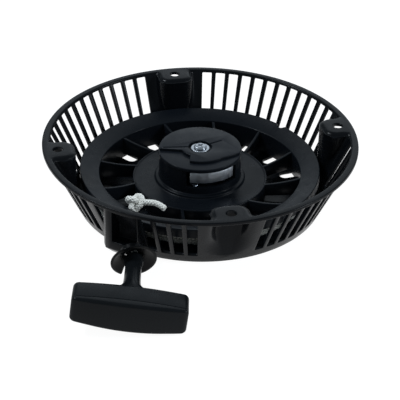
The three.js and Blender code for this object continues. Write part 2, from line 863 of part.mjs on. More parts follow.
// The rope runs level until it is clear of the turns above it, then climbs to the guide.
function ropeRunCurve() {
  const { start, throat } = ropeRunEnds();
  const level = throat.clone().setZ(start.z).sub(start).normalize();
  const points = [seatGap, 14, 30].map((s) => start.clone().addScaledVector(level, s));
  const climb = points[2].clone().lerp(throat, 0.5);
  const end = throat.clone().addScaledVector(level, -1.3);
  return new THREE.CatmullRomCurve3([...points, climb, end]);
}

const ropeRun = () => wire(ropeRunCurve(), ropeRadius, ropeRunSteps, ropeRunSides);

// ---- handle -------------------------------------------------------------------------------------

// Puts a shape drawn about +Z, with z as the distance out from the dish, on the rope's axis.
const onRope = (geometry, roll = 0) =>
  geometry
    .rotateZ(radians(roll))
    .rotateX(Math.PI / 2)
    .translate(outletX, outletY, outletZ);

const ropeLeadStart = -sleeveLength + seatGap;
const knotPocketBottom = gripOffset + 2;

function ropeLead() {
  return onRope(rod(ropeRadius, ropeLeadStart, knotPocketBottom + 1.5, 12));
}

const handleWasher = () =>
  onRope(ring(ropeRadius + seatGap, knotPocketRadius - 0.6, knotPocketBottom + seatGap,
    knotPocketBottom + 1.3, 24));

function outerKnot() {
  const ball = new THREE.IcosahedronGeometry(outerKnotRadius, 2).scale(1.3, 1.15, 1);
  return onRope(ball.translate(0, 0, knotPocketBottom + 1.6 + seatGap + outerKnotRadius));
}

// The grip seen from above: straight towards the neck, bowed on the outer side.
function gripPlan(near, farEnds, farMiddle, height, corner) {
  const half = gripLength / 2;
  const shape = new THREE.Shape();
  shape.moveTo(half - corner, near);
  shape.quadraticCurveTo(half, near, half, near + corner);
  shape.lineTo(half, farEnds - corner);
  shape.quadraticCurveTo(half, farEnds, half - corner, farEnds + 0.1);
  shape.quadraticCurveTo(0, 2 * farMiddle - farEnds, -half + corner, farEnds + 0.1);
  shape.quadraticCurveTo(-half, farEnds, -half, farEnds - corner);
  shape.lineTo(-half, near + corner);
  shape.quadraticCurveTo(-half, near, -half + corner, near);
  return raised(shape, -height / 2, height / 2, 8).rotateX(Math.PI / 2);
}

// The grip seen along the rope: taller in the middle than at its ends.
function gripFace(near, far, height, corner) {
  const half = gripLength / 2;
  const end = height / 2;
  const bow = end + 2 * gripArch;
  const shape = new THREE.Shape();
  shape.moveTo(half - corner, end);
  shape.quadraticCurveTo(0, bow, -half + corner, end);
  shape.quadraticCurveTo(-half, end, -half, end - corner);
  shape.lineTo(-half, -end + corner);
  shape.quadraticCurveTo(-half, -end, -half + corner, -end);
  shape.quadraticCurveTo(0, -bow, half - corner, -end);
  shape.quadraticCurveTo(half, -end, half, -end + corner);
  shape.lineTo(half, end - corner);
  shape.quadraticCurveTo(half, end, half - corner, end);
  return raised(shape, near - 1, far + 1, 8);
}

// The grip seen from its end, with its own rounding on the inner and the outer side.
function gripSection(near, far, height, nearCorner, farCorner) {
  const half = height / 2;
  const shape = new THREE.Shape();
  shape.moveTo(-near - nearCorner, -half);
  shape.quadraticCurveTo(-near, -half, -near, -half + nearCorner);
  shape.lineTo(-near, half - nearCorner);
  shape.quadraticCurveTo(-near, half, -near - nearCorner, half);
  shape.lineTo(-far + farCorner, half);
  shape.quadraticCurveTo(-far, half, -far, half - farCorner);
  shape.lineTo(-far, -half + farCorner);
  shape.quadraticCurveTo(-far, -half, -far + farCorner, -half);
  shape.closePath();
  return raised(shape, -gripLength, gripLength, 6).rotateY(Math.PI / 2);
}

function handleGrip() {
  const neck = turned(
    [
      [0, -2.4],
      [5.2, -2.4],
      [6.4, -1.2],
      [6.6, 1.4],
      [5.6, 3.4],
      [handleNeckRadius, 12],
      [handleNeckRadius, gripOffset - 12],
      [6, gripOffset - 7],
      [7.2, gripOffset - 3.5],
      [7.9, gripOffset + 1],
      [7.9, gripOffset + 4],
      [0, gripOffset + 4],
    ],
    32,
  );
  // the webs that spread from the neck into the grip
  const web = new THREE.Shape();
  web.moveTo(-webReach, gripOffset + 2);
  web.lineTo(webReach, gripOffset + 2);
  web.lineTo(webReach, gripOffset);
  web.quadraticCurveTo(6.4, gripOffset, 5, gripOffset - webLength);
  web.lineTo(-5, gripOffset - webLength);
  web.quadraticCurveTo(-6.4, gripOffset, -webReach, gripOffset);
  web.closePath();
  const webPlate = raised(web, -webThickness / 2, webThickness / 2, 8).rotateX(Math.PI / 2);
  const seam = gripOffset + gripDepth;
  const tallest = gripHeight + 2 * gripArch;
  const block = solid(onRope(gripPlan(gripOffset, seam, seam, tallest, 2.4), gripRoll))
    .intersect(solid(onRope(gripSection(gripOffset, seam, tallest, 4.2, 0.5), gripRoll)))
    .intersect(solid(onRope(gripFace(gripOffset, seam, gripHeight, 2.4), gripRoll)));
  const bore = rod(neckBore, -5, knotPocketBottom + 1, 20);
  const pocket = rod(knotPocketRadius, knotPocketBottom, gripOffset + gripDepth + 3, 32);
  return geometryOf(
    solid(onRope(neck, gripRoll))
      .add(solid(onRope(webPlate, gripRoll)))
      .add(block)
      .subtract(solid(onRope(bore)))
      .subtract(solid(onRope(pocket))),
  );
}

function handleCap() {
  const near = gripOffset + gripDepth + seatGap;
  const far = near + capDepth;
  const tallest = gripHeight + 2 * gripArch + 1;
  const plan = gripPlan(near, near + capEndDepth, far, tallest, 1.2);
  const section = gripSection(near, far, tallest, 0.4, 2.6);
  const face = gripFace(near, far, gripHeight + 0.6, 2.4);
  return geometryOf(
    solid(onRope(plan, gripRoll))
      .intersect(solid(onRope(section, gripRoll)))
      .intersect(solid(onRope(face, gripRoll))),
  );
}

// ---- materials and assembly ---------------------------------------------------------------------

const finish = (color, roughness, metalness = 0) =>
  new THREE.MeshStandardMaterial({ color, roughness, metalness });

const blackPlastic = finish(0x17191c, 0.42);
const pulleyNylon = finish(0x1b1e22, 0.5);
const camPlastic = finish(0x22262b, 0.48);
const handlePlastic = finish(0x1a1c1f, 0.4);
const zincSteel = finish(0xb9bcbf, 0.35, 1);
const springSteel = finish(0x5c6066, 0.35, 1);
const brass = finish(0xb08d4a, 0.35, 1);
const acetal = finish(0xd9d6c8, 0.4);
const whiteRope = finish(0xe4e3dc, 0.85);
const blackSteel = finish(0x15161a, 0.35, 0.4);

const pieces = [
  ["starter_housing", starterHousing(), blackPlastic],
  ["rope_guide", ropeGuide(), blackSteel],
  ["post_insert", postInsert(), brass],
  ["center_screw", centerScrew(), zincSteel],
  ["screw_washer", screwWasher(), zincSteel],
  ["thrust_washer", thrustWasher(), acetal],
  ["hub_washer", hubWasher(), zincSteel],
  ["brake_spring", brakeSpring(), springSteel],
  ["rope_run", ropeRun(), whiteRope],
  ["rope_pulley", ropePulley(), pulleyNylon],
  ["pulley_bushing", pulleyBushing(), acetal],
  ["rewind_spring", rewindSpring(), springSteel],
  ["spring_keeper", springKeeper(), zincSteel],
  ["rope_coil", ropeCoil(), whiteRope],
  ["rope_inner_knot", innerKnot(), whiteRope],
  ["pawl_pin", pawlPin(), zincSteel],
  ["pawl_spring", pawlSpring(), springSteel],
  ["pawl", pawl(), zincSteel],
  ["cam_plate", camPlate(), camPlastic],
  ["rope_lead", ropeLead(), whiteRope],
  ["handle_washer", handleWasher(), zincSteel],
  ["rope_outer_knot", outerKnot(), whiteRope],
  ["handle_grip", handleGrip(), handlePlastic],
  ["handle_cap", handleCap(), handlePlastic],
];

const recoilStarter = new THREE.Group();
for (const [name, geometry, material] of pieces) {
  const mesh = new THREE.Mesh(geometry, material);
  mesh.name = name;
  recoilStarter.add(mesh);
}

export default recoilStarter;
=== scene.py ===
import math

import bmesh
import bpy
from mathutils import Matrix, Vector


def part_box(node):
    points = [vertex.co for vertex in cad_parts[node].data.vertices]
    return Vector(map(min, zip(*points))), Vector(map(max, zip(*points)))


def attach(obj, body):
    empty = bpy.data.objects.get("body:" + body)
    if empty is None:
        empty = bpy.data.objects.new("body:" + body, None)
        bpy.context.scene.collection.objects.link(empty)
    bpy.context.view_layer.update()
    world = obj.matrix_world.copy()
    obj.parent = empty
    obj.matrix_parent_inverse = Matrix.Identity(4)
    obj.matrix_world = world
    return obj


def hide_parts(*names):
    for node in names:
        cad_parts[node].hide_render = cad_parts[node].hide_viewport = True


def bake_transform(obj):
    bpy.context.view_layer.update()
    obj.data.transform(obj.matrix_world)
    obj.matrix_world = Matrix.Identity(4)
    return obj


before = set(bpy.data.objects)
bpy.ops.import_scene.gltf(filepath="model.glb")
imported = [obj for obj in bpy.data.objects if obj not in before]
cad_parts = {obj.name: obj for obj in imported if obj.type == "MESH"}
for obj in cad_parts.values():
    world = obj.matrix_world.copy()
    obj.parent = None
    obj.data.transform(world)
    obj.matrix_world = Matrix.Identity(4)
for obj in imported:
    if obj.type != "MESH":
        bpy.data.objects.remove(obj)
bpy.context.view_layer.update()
mm = 0.001
print("frame loaded")


# small tools for meshes; lengths are in millimetres until a mesh is made

def polar(radius, degrees, z=0.0):
    angle = math.radians(degrees)
    return (radius * math.cos(angle), radius * math.sin(angle), z)


def linked(name, data):
    made = bpy.data.objects.new(name, data)
    bpy.context.scene.collection.objects.link(made)
    return made


def meshObject(name, vertices, faces, edges=()):
    mesh = bpy.data.meshes.new(name)
    mesh.from_pydata([Vector(v) * mm for v in vertices], edges, faces)
    return linked(name, mesh)


def cleaned(piece, merge=0.002):
    bm = bmesh.new()
    bm.from_mesh(piece.data)
    bmesh.ops.remove_doubles(bm, verts=bm.verts, dist=merge * mm)
    bmesh.ops.dissolve_degenerate(bm, edges=bm.edges, dist=0.0005 * mm)
    bmesh.ops.recalc_face_normals(bm, faces=bm.faces)
    bm.to_mesh(piece.data)
    bm.free()
    return piece


def evaluated(piece):
    bpy.context.view_layer.update()
    graph = bpy.context.evaluated_depsgraph_get()
    return bpy.data.meshes.new_from_object(piece.evaluated_get(graph), depsgraph=graph)


def applied(piece):
    done = evaluated(piece)
    piece.modifiers.clear()
    piece.data = done
    return piece


def dropped(*objs):
    for o in objs:
        bpy.data.objects.remove(o, do_unlink=True)


def cut(piece, cutter, how="DIFFERENCE"):
    modifier = piece.modifiers.new("cut", "BOOLEAN")
    modifier.operation = how
    modifier.solver = "EXACT"
    modifier.object = cutter
    applied(piece)
    dropped(cutter)
    return piece


def bevelled(piece, width, segments=2, angle=35, clamp=True):
    modifier = piece.modifiers.new("edges", "BEVEL")
    modifier.width = width * mm
    modifier.segments = segments
    modifier.limit_method = "ANGLE"
    modifier.angle_limit = math.radians(angle)
    modifier.use_clamp_overlap = clamp
    modifier.harden_normals = False
    return applied(piece)


def smoothed(piece, angle=32):
    bm = bmesh.new()
    bm.from_mesh(piece.data)
    limit = math.radians(angle)
    for face in bm.faces:
        face.smooth = True
    for edge in bm.edges:
        edge.smooth = len(edge.link_faces) == 2 and edge.calc_face_angle(0.0) < limit
    bm.to_mesh(piece.data)
    bm.free()
    return piece


def joined(name, parts):
    bm = bmesh.new()
    for part in parts:
        bm.from_mesh(part.data)
    mesh = bpy.data.meshes.new(name)
    bm.to_mesh(mesh)
    bm.free()
    dropped(*parts)
    return linked(name, mesh)


def placed(piece, matrix):
    # matrix is in millimetres
    lift = matrix.copy()
    lift.translation = lift.translation * mm
    piece.data.transform(lift)
    return piece


# corners are (x, y, rounding); the outline comes back with each corner as an arc
def softened(corners, steps=4):
    points = []
    for i, (x, y, rounding) in enumerate(corners):
        here = Vector((x, y))
        if rounding <= 0:
            points.append((x, y))
            continue
        toBefore = Vector(corners[i - 1][:2]) - here
        toAfter = Vector(corners[(i + 1) % len(corners)][:2]) - here
        half = toBefore.angle(toAfter) / 2
        reach = min(rounding / math.tan(half), 0.49 * toBefore.length, 0.49 * toAfter.length)
        radius = reach * math.tan(half)
        start = here + toBefore.normalized() * reach
        end = here + toAfter.normalized() * reach
        middle = (toBefore.normalized() + toAfter.normalized()).normalized()
        centre = here + middle * (radius / math.sin(half))
        first = math.atan2(start.y - centre.y, start.x - centre.x)
        swing = math.atan2(end.y - centre.y, end.x - centre.x) - first
        swing = (swing + math.pi) % (2 * math.pi) - math.pi
        for k in range(steps + 1):
            angle = first + swing * k / steps
            points.append((centre.x + radius * math.cos(angle), centre.y + radius * math.sin(angle)))
    return points


# a closed profile of (radius, z, rounding) turned about Z
def turned(name, corners, steps=160, cornerSteps=4):
    profile = softened(corners, cornerSteps)
    count = len(profile)
    vertices = []
    faces = []
    for i in range(steps):
        vertices += [polar(r, 360 * i / steps, z) for r, z in profile]
    for i in range(steps):
        here, there = i * count, ((i + 1) % steps) * count
        for j in range(count):
            k = (j + 1) % count
            if profile[j][0] == 0 and profile[k][0] == 0:
                continue
            if profile[j][0] == 0:
                faces.append((here + j, there + k, here + k))
            elif profile[k][0] == 0:
                faces.append((here + j, there + j, here + k))
            else:
                faces.append((here + j, there + j, there + k, here + k))
    return cleaned(meshObject(name, vertices, faces))


# a plain round bar on the Z axis
def rod(name, radius, low, high, steps=40):
    return turned(name, [(0, low, 0), (radius, low, 0), (radius, high, 0), (0, high, 0)], steps)


# an outline of (x, y) raised from one height to another
def plate(name, outline, bottom, top):
    count = len(outline)
    vertices = [(x, y, bottom) for x, y in outline] + [(x, y, top) for x, y in outline]
    faces = [tuple(reversed(range(count))), tuple(range(count, 2 * count))]
    faces += [(i, (i + 1) % count, count + (i + 1) % count, count + i) for i in range(count)]
    return cleaned(meshObject(name, vertices, faces))


def arcPoints(radius, start, end, count):
    return [polar(radius, start + (end - start) * i / count)[:2] for i in range(count + 1)]


# rings of points, one after another, closed at both ends by a fan
def lofted(name, rings):
    count = len(rings[0])
    vertices = [v for ring in rings for v in ring]
    faces = []
    for i in range(len(rings) - 1):
        for j in range(count):
            k = (j + 1) % count
            faces.append((i * count + j, i * count + k, (i + 1) * count + k, (i + 1) * count + j))
    for ring, first in ((rings[0], 0), (rings[-1], (len(rings) - 1) * count)):
        middle = sum((Vector(v) for v in ring), Vector()) / count
        vertices.append(tuple(middle))
        tip = len(vertices) - 1
        faces += [(first + j, first + (j + 1) % count, tip) for j in range(count)]
    return cleaned(meshObject(name, vertices, faces))


# node trees

def addNode(tree, kind, settings=None, links=None):
    made = tree.nodes.new(kind)
    for key, value in (settings or {}).items():
        if isinstance(key, int) or key in made.inputs:
            made.inputs[key].default_value = value
        else:
            setattr(made, key, value)
    for key, source in (links or {}).items():
        tree.links.new(source, made.inputs[key])
    return made


# a maths node's result; each value is a number or another node's output
def maths(tree, operation, *values):
    made = addNode(tree, "ShaderNodeMath", {"operation": operation})
    for i, value in enumerate(values):
        if isinstance(value, float):
            made.inputs[i].default_value = value
        else:
            tree.links.new(value, made.inputs[i])
    return made.outputs[0]


def hexLinear(text):
    channels = [int(text[i:i + 2], 16) / 255 for i in (1, 3, 5)]
    linear = [c / 12.92 if c <= 0.04045 else ((c + 0.055) / 1.055) ** 2.4 for c in channels]
    return (*linear, 1.0)


def newTree(name, sockets):
    tree = bpy.data.node_groups.new(name, "GeometryNodeTree")
    face = tree.interface
    face.new_socket("Geometry", in_out="INPUT", socket_type="NodeSocketGeometry")
    for label, kind in sockets:
        face.new_socket(label, in_out="INPUT", socket_type=kind)
    face.new_socket("Geometry", in_out="OUTPUT", socket_type="NodeSocketGeometry")
    return tree


# adds a node tree to a piece, fills its named inputs, and keeps the result as a plain mesh
def grown(piece, tree, values):
    modifier = piece.modifiers.new(tree.name, "NODES")
    modifier.node_group = tree
    for item in tree.interface.items_tree:
        if item.in_out == "INPUT" and item.name in values:
            modifier[item.identifier] = values[item.name]
    done = evaluated(piece)
    name = piece.name
    dropped(piece)
    return linked(name, done)


# copies of the piece round the Z axis
def copiesTree():
    tree = newTree("copiesRound", [
        ("Count", "NodeSocketInt"),
        ("First angle", "NodeSocketFloat"),
        ("Pitch", "NodeSocketFloat"),
        ("Seed", "NodeSocketInt"),
        ("Finish", "NodeSocketMaterial"),
    ])
    entry = addNode(tree, "NodeGroupInput")
    line = addNode(tree, "GeometryNodeMeshLine", {"Offset": (0, 0, 0)}, {"Count": entry.outputs["Count"]})
    index = addNode(tree, "GeometryNodeInputIndex")
    pitch, first = entry.outputs["Pitch"], entry.outputs["First angle"]
    swing = maths(tree, "MULTIPLY_ADD", index.outputs[0], pitch, first)
    turn = addNode(tree, "ShaderNodeCombineXYZ", {}, {"Z": maths(tree, "RADIANS", swing)})
    copies = addNode(tree, "GeometryNodeInstanceOnPoints", {}, {
        "Points": line.outputs[0], "Instance": entry.outputs["Geometry"], "Rotation": turn.outputs[0]})
    real = addNode(tree, "GeometryNodeRealizeInstances", {}, {0: copies.outputs[0]})
    finish = addNode(tree, "GeometryNodeSetMaterial", {}, {
        "Geometry": real.outputs[0], "Material": entry.outputs["Finish"]})
    addNode(tree, "NodeGroupOutput", {}, {0: finish.outputs[0]})
    return tree


# a plain braid: strands wind both ways along the path and pass over and under each other
def braidTree():
    tree = newTree("braidAlongPath", [
        ("Strands", "NodeSocketInt"),
        ("Lay", "NodeSocketFloat"),
        ("Core radius", "NodeSocketFloat"),
        ("Weave", "NodeSocketFloat"),
        ("Strand radius", "NodeSocketFloat"),
        ("Step", "NodeSocketFloat"),
        ("Seed", "NodeSocketInt"),
        ("Finish", "NodeSocketMaterial"),
    ])
    entry = addNode(tree, "NodeGroupInput")
    path = addNode(tree, "GeometryNodeMeshToCurve", {}, {"Mesh": entry.outputs["Geometry"]})
    even = addNode(tree, "GeometryNodeResampleCurve", {"mode": "LENGTH"}, {
        "Curve": path.outputs[0], "Length": entry.outputs["Step"]})
    many = addNode(tree, "GeometryNodeDuplicateElements", {"domain": "SPLINE"}, {
        "Geometry": even.outputs[0], "Amount": maths(tree, "MULTIPLY", entry.outputs["Strands"], 2.0)})
    # even copies wind one way and odd copies the other
    number = many.outputs["Duplicate Index"]
    side = maths(tree, "MULTIPLY_ADD", maths(tree, "MODULO", number, 2.0), -2.0, 1.0)
    along = addNode(tree, "GeometryNodeSplineParameter")
    turns = maths(tree, "DIVIDE", along.outputs["Length"], entry.outputs["Lay"])
    wind = maths(tree, "MULTIPLY", turns, 2 * math.pi)
    rank = maths(tree, "FLOOR", maths(tree, "MULTIPLY", number, 0.5))
    share = maths(tree, "DIVIDE", rank, entry.outputs["Strands"])
    phase = maths(tree, "MULTIPLY_ADD", share, 2 * math.pi, maths(tree, "MULTIPLY", wind, side))
    wave = maths(tree, "COSINE", maths(tree, "MULTIPLY", wind, entry.outputs["Strands"]))
    over = maths(tree, "MULTIPLY", wave, side)
    out = maths(tree, "MULTIPLY_ADD", over, entry.outputs["Weave"], entry.outputs["Core radius"])
    normal = addNode(tree, "GeometryNodeInputNormal")
    tangent = addNode(tree, "GeometryNodeInputTangent")
    across = addNode(tree, "ShaderNodeVectorMath", {"operation": "CROSS_PRODUCT"}, {
        0: tangent.outputs[0], 1: normal.outputs[0]})
    partA = addNode(tree, "ShaderNodeVectorMath", {"operation": "SCALE"}, {
        0: normal.outputs[0], "Scale": maths(tree, "COSINE", phase)})
    partB = addNode(tree, "ShaderNodeVectorMath", {"operation": "SCALE"}, {
        0: across.outputs[0], "Scale": maths(tree, "SINE", phase)})
    both = addNode(tree, "ShaderNodeVectorMath", {"operation": "ADD"}, {
        0: partA.outputs[0], 1: partB.outputs[0]})
    offset = addNode(tree, "ShaderNodeVectorMath", {"operation": "SCALE"}, {
        0: both.outputs[0], "Scale": out})
    moved = addNode(tree, "GeometryNodeSetPosition", {}, {
        "Geometry": many.outputs[0], "Offset": offset.outputs[0]})
    section = addNode(tree, "GeometryNodeCurvePrimitiveCircle", {"Resolution": 6}, {
        "Radius": entry.outputs["Strand radius"]})
    tube = addNode(tree, "GeometryNodeCurveToMesh", {"Fill Caps": True}, {
        "Curve": moved.outputs[0], "Profile Curve": section.outputs[0]})
    real = addNode(tree, "GeometryNodeRealizeInstances", {}, {0: tube.outputs[0]})
    finish = addNode(tree, "GeometryNodeSetMaterial", {}, {
        "Geometry": real.outputs[0], "Material": entry.outputs["Finish"]})
    addNode(tree, "NodeGroupOutput", {}, {0: finish.outputs[0]})
    return tree


# materials

def newMaterial(name):
    made = bpy.data.materials.new(name)
    made.use_nodes = True
    tree = made.node_tree
    tree.nodes.clear()
    return made, tree


def noise(tree, vector, scale, detail, roughness=0.5):
    made = addNode(tree, "ShaderNodeTexNoise", {
        "Scale": scale, "Detail": detail, "Roughness": roughness}, {"Vector": vector})
    return made.outputs["Fac"]


# a blend of two colours, each a hex text or another node's output
def mixed(tree, factor, first, second):
    made = addNode(tree, "ShaderNodeMix", {"data_type": "RGBA"}, {0: factor})
    for i, colour in ((6, first), (7, second)):
        if isinstance(colour, str):
            made.inputs[i].default_value = hexLinear(colour)
        else:
            tree.links.new(colour, made.inputs[i])
    return made.outputs[2]


# moulded nylon or ABS: a near-black satin skin, slightly uneven in gloss, paler where edges rub
def mouldedPlastic(name, dark, pale, roughness, grain=0.7, grainDepth=0.008, sheen=0.08):
    made, tree = newMaterial(name)
    spot = addNode(tree, "ShaderNodeTexCoord").outputs["Object"]
    cloud = noise(tree, spot, 1 / (35 * mm), 3.0)
    scuff = noise(tree, spot, 1 / (9 * mm), 5.0, 0.65)
    skin = noise(tree, spot, 1 / (grain * mm), 2.0)
    edge = addNode(tree, "ShaderNodeNewGeometry")
    rub = addNode(tree, "ShaderNodeMapRange", {"From Min": 0.54, "From Max": 0.66, "To Max": 0.3},
                  {"Value": edge.outputs["Pointiness"]})
    worn = mixed(tree, rub.outputs[0], mixed(tree, cloud, dark, pale), "#24282E")
    gloss = addNode(tree, "ShaderNodeMapRange", {
        "From Min": 0.3, "From Max": 0.7, "To Min": roughness - 0.07, "To Max": roughness + 0.09},
        {"Value": scuff})
    bump = addNode(tree, "ShaderNodeBump", {"Strength": 0.5, "Distance": grainDepth * mm},
                   {"Height": skin})
    shader = addNode(tree, "ShaderNodeBsdfPrincipled", {"IOR": 1.52, "Specular IOR Level": sheen}, {
        "Base Color": worn, "Roughness": gloss.outputs[0], "Normal": bump.outputs[0]})
    addNode(tree, "ShaderNodeOutputMaterial", {}, {0: shader.outputs[0]})
    return made


# plated or bare steel: bright, with fine rubbing marks and a little dulling
def steel(name, tint, shade, roughness, metallic=1.0, streak=(60, 700, 700)):
    made, tree = newMaterial(name)
    spot = addNode(tree, "ShaderNodeTexCoord").outputs["Object"]
    stretched = addNode(tree, "ShaderNodeMapping", {"Scale": streak}, {"Vector": spot})
    marks = noise(tree, stretched.outputs[0], 1.0, 4.0)
    tone = mixed(tree, noise(tree, spot, 1 / (6 * mm), 3.0), tint, shade)
    gloss = addNode(tree, "ShaderNodeMapRange", {
        "From Min": 0.35, "From Max": 0.65, "To Min": roughness - 0.06, "To Max": roughness + 0.1},
        {"Value": marks})
    bump = addNode(tree, "ShaderNodeBump", {"Strength": 0.25, "Distance": 0.01 * mm},
                   {"Height": marks})
    shader = addNode(tree, "ShaderNodeBsdfPrincipled", {"Metallic": metallic}, {
        "Base Color": tone, "Roughness": gloss.outputs[0], "Normal": bump.outputs[0]})
    addNode(tree, "ShaderNodeOutputMaterial", {}, {0: shader.outputs[0]})
    return made


# braided polyester: white and soft, with fibres across each strand and patches of grime
def polyester(name, light, grime):
    made, tree = newMaterial(name)
    spot = addNode(tree, "ShaderNodeTexCoord").outputs["Object"]
    fuzz = noise(tree, spot, 1 / (0.35 * mm), 3.0)
    tone = mixed(tree, noise(tree, spot, 1 / (5 * mm), 3.0), light, grime)
    bump = addNode(tree, "ShaderNodeBump", {"Strength": 0.5, "Distance": 0.08 * mm},
                   {"Height": fuzz})
    shader = addNode(tree, "ShaderNodeBsdfPrincipled", {
        "Roughness": 0.82, "Sheen Weight": 0.25, "Sheen Roughness": 0.5}, {
        "Base Color": tone, "Normal": bump.outputs[0]})
    addNode(tree, "ShaderNodeOutputMaterial", {}, {0: shader.outputs[0]})
    return made


housingFinish = mouldedPlastic("mouldedNylonHousing", "#07090B", "#0C0E12", 0.26)
pulleyFinish = mouldedPlastic("mouldedNylonPulley", "#0A0D11", "#0F1318", 0.3)
camFinish = mouldedPlastic("mouldedNylonCam", "#0E1115", "#15191F", 0.32)
handleFinish = mouldedPlastic("mouldedAbsHandle", "#0C0E10", "#111417", 0.28, grain=0.5)
guideFinish = mouldedPlastic("blackOxideSteelGuide", "#060708", "#0B0C0E", 0.3, sheen=0.07)
zincFinish = steel("brightZincPlatedSteel", "#B4B8BD", "#8B9097", 0.26)
pawlFinish = steel("tumbledSteelPawl", "#DFE3E8", "#B8BEC6", 0.42, streak=(700, 700, 60))
springFinish = steel("oiledSpringSteel", "#6D737B", "#4B5057", 0.3)
brassFinish = steel("turnedBrass", "#C9A45C", "#A98443", 0.3)
ropeFinish = polyester("braidedPolyesterRope", "#F4F4F0", "#DEDCD3")
# the same white rope painted grey: painted shade for the turns that lie dim under the pulley's flange;
# its two tones differ by patches of grime
coilRopePaintedShade = polyester("woundRopePaintedShade", "#989894", "#757469")
acetalFinish = mouldedPlastic("naturalAcetal", "#D8D4C6", "#E4E1D6", 0.4, sheen=0.5)
copiesRound = copiesTree()
braidAlongPath = braidTree()
print("materials and node trees made")


def coated(piece, material):
    piece.data.materials.clear()
    piece.data.materials.append(material)
    return piece


def finished(piece, material, body, node):
    coated(piece, material)
    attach(piece, body)
    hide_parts(node)


# camera and light
cameraSet = {
    "target": (0, 0, 45.0), "distance": 913.0, "elevation": 29.45, "roll": 1.0,
    "lens": 117.75, "shiftX": -0.001, "shiftY": -0.1556,
}


def setCamera(s):
    data = bpy.data.cameras.new("camera")
    data.sensor_width = 36
    data.lens = s["lens"]
    data.shift_x = s["shiftX"]
    data.shift_y = s["shiftY"]
    data.clip_end = 20
    camera = linked("camera", data)
    rise = math.radians(s["elevation"])
    away = Vector((0, -math.cos(rise), math.sin(rise))) * s["distance"]
    camera.location = (Vector(s["target"]) + away) * mm
    aim = Matrix.Rotation(math.radians(90) - rise, 4, "X")
    spin = Matrix.Rotation(math.radians(s["roll"]), 4, "Z")
    camera.rotation_euler = (aim @ spin).to_euler()
    bpy.context.scene.camera = camera


setCamera(cameraSet)

lightSet = [
    # name, place in metres, width, watts
    ("keyLight", (-0.85, 0.15, 1.2), 0.32, 11.5),
    ("sideLight", (1.3, -0.35, 0.6), 0.32, 9.5),
    ("backCard", (0.2, 1.6, 0.95), 1.5, 5.5),
]
for name, place, width, watts in lightSet:
    data = bpy.data.lights.new(name, "AREA")
    data.shape = "SQUARE"
    data.size = width
    data.energy = watts
    data.color = (0.86, 0.93, 1.0)
    lamp = linked(name, data)
    lamp.location = place
    lamp.rotation_euler = (Vector((0, 0, 0.03)) - Vector(place)).to_track_quat("-Z", "Y").to_euler()

world = bpy.data.worlds.new("studio")
world.use_nodes = True
world.node_tree.nodes["Background"].inputs["Color"].default_value = (0.8, 0.92, 1, 1)
world.node_tree.nodes["Background"].inputs["Strength"].default_value = 0.4
bpy.context.scene.world = world
bpy.context.scene.view_settings.view_transform = "Standard"

reach = 4000
floor = meshObject("studioFloor", [
    (-reach, -reach, 0), (reach, -reach, 0), (reach, reach, 0), (-reach, reach, 0)], [(0, 1, 2, 3)])
floorLook, floorTree = newMaterial("matteWhiteFloor")
floorShader = addNode(floorTree, "ShaderNodeBsdfPrincipled", {
    "Base Color": hexLinear("#6E6E6E"), "Roughness": 0.9, "Specular IOR Level": 0.0,
    "Emission Color": (1, 1, 1, 1), "Emission Strength": 0.95})
addNode(floorTree, "ShaderNodeOutputMaterial", {}, {0: floorShader.outputs[0]})
floor.data.materials.append(floorLook)
print("camera, light and floor set")


# the housing: slotted conical wall with four screw towers, lip, floor and rope outlet
shell = {
    "rimRadius": 110.0, "height": 45.5, "wallTop": 107.8, "wallBase": 86.8, "wall": 2.2,
    "earAngle": 11.86, "boltCircle": 99.5, "screwHole": 3.4, "earEdge": 4.4,
    "channelStart": 90.0, "channel": 10.8, "channelCorner": 6.5, "mouth": 7.0,
    "slots": 12, "slotStart": 14.2, "slotPitch": 5.6, "slotWidth": 3.9,
    "slotBottom": 7.5, "slotTop": 42.8, "slotCorner": 1.7,
    "bossFrom": 235.4, "bossTo": 248.8, "bossRadius": 108.6, "bossRoot": 84.0, "bossFlare": 12.0,
    "bossBottom": 4.4, "bossSlope": 9.0, "nicheFrom": 239.2, "nicheTo": 248.0, "nicheDepth": 8.0,
    "nicheBottom": 19.5, "nicheTop": 41.6,
    "floor": 2.4, "vents": 18, "ventFrom": 62.0, "ventTo": 79.0, "ventWidth": 8.0,
}
slope = math.atan((shell["wallTop"] - shell["wallBase"]) / shell["height"])


def wallRadius(z):
    return shell["wallBase"] + (shell["wallTop"] - shell["wallBase"]) * z / shell["height"]


# a tower's channel in plan, by the length along it from its middle: flat, round a corner, then out
def channelPoint(s):
    start, half, corner = shell["channelStart"], shell["channel"], shell["channelCorner"]
    flat, side = half - corner, math.copysign(1, s)
    past = abs(s) - flat
    if past <= 0:
        return (start, s)
    if past <= corner * math.pi / 2:
        swing = past / corner
        return (start + corner * (1 - math.cos(swing)), side * (flat + corner * math.sin(swing)))
    return (start + corner + past - corner * math.pi / 2, side * half)


# the length along the channel at which it meets a cone of that radius
def channelReach(radius):
    low, high = 0.0, 60.0
    for _ in range(30):
        middle = (low + high) / 2
        if math.hypot(*channelPoint(middle)) < radius:
            low = middle
        else:
            high = middle
    return low


# at one radius: the channel's length, the plain part of it, its mouth's corner and the mouth's end angle
def channelEnd(radius):
    reach = max(channelReach(radius), 0.004)
    soft = min(shell["mouth"], 0.62 * reach)
    corner = channelPoint(reach) if radius > shell["channelStart"] else (radius, 0)
    endAngle = math.degrees(math.atan2(corner[1], corner[0])) + math.degrees(soft / radius)
    return reach, reach - soft, corner, endAngle


# points of the channel's plain part and of its rounded mouth, by the share of each that lies behind
def plainSpot(radius, share):
    reach, plain, _, _ = channelEnd(radius)
    return channelPoint(plain * share) if reach > 0.01 else (radius, 0.001 * share)


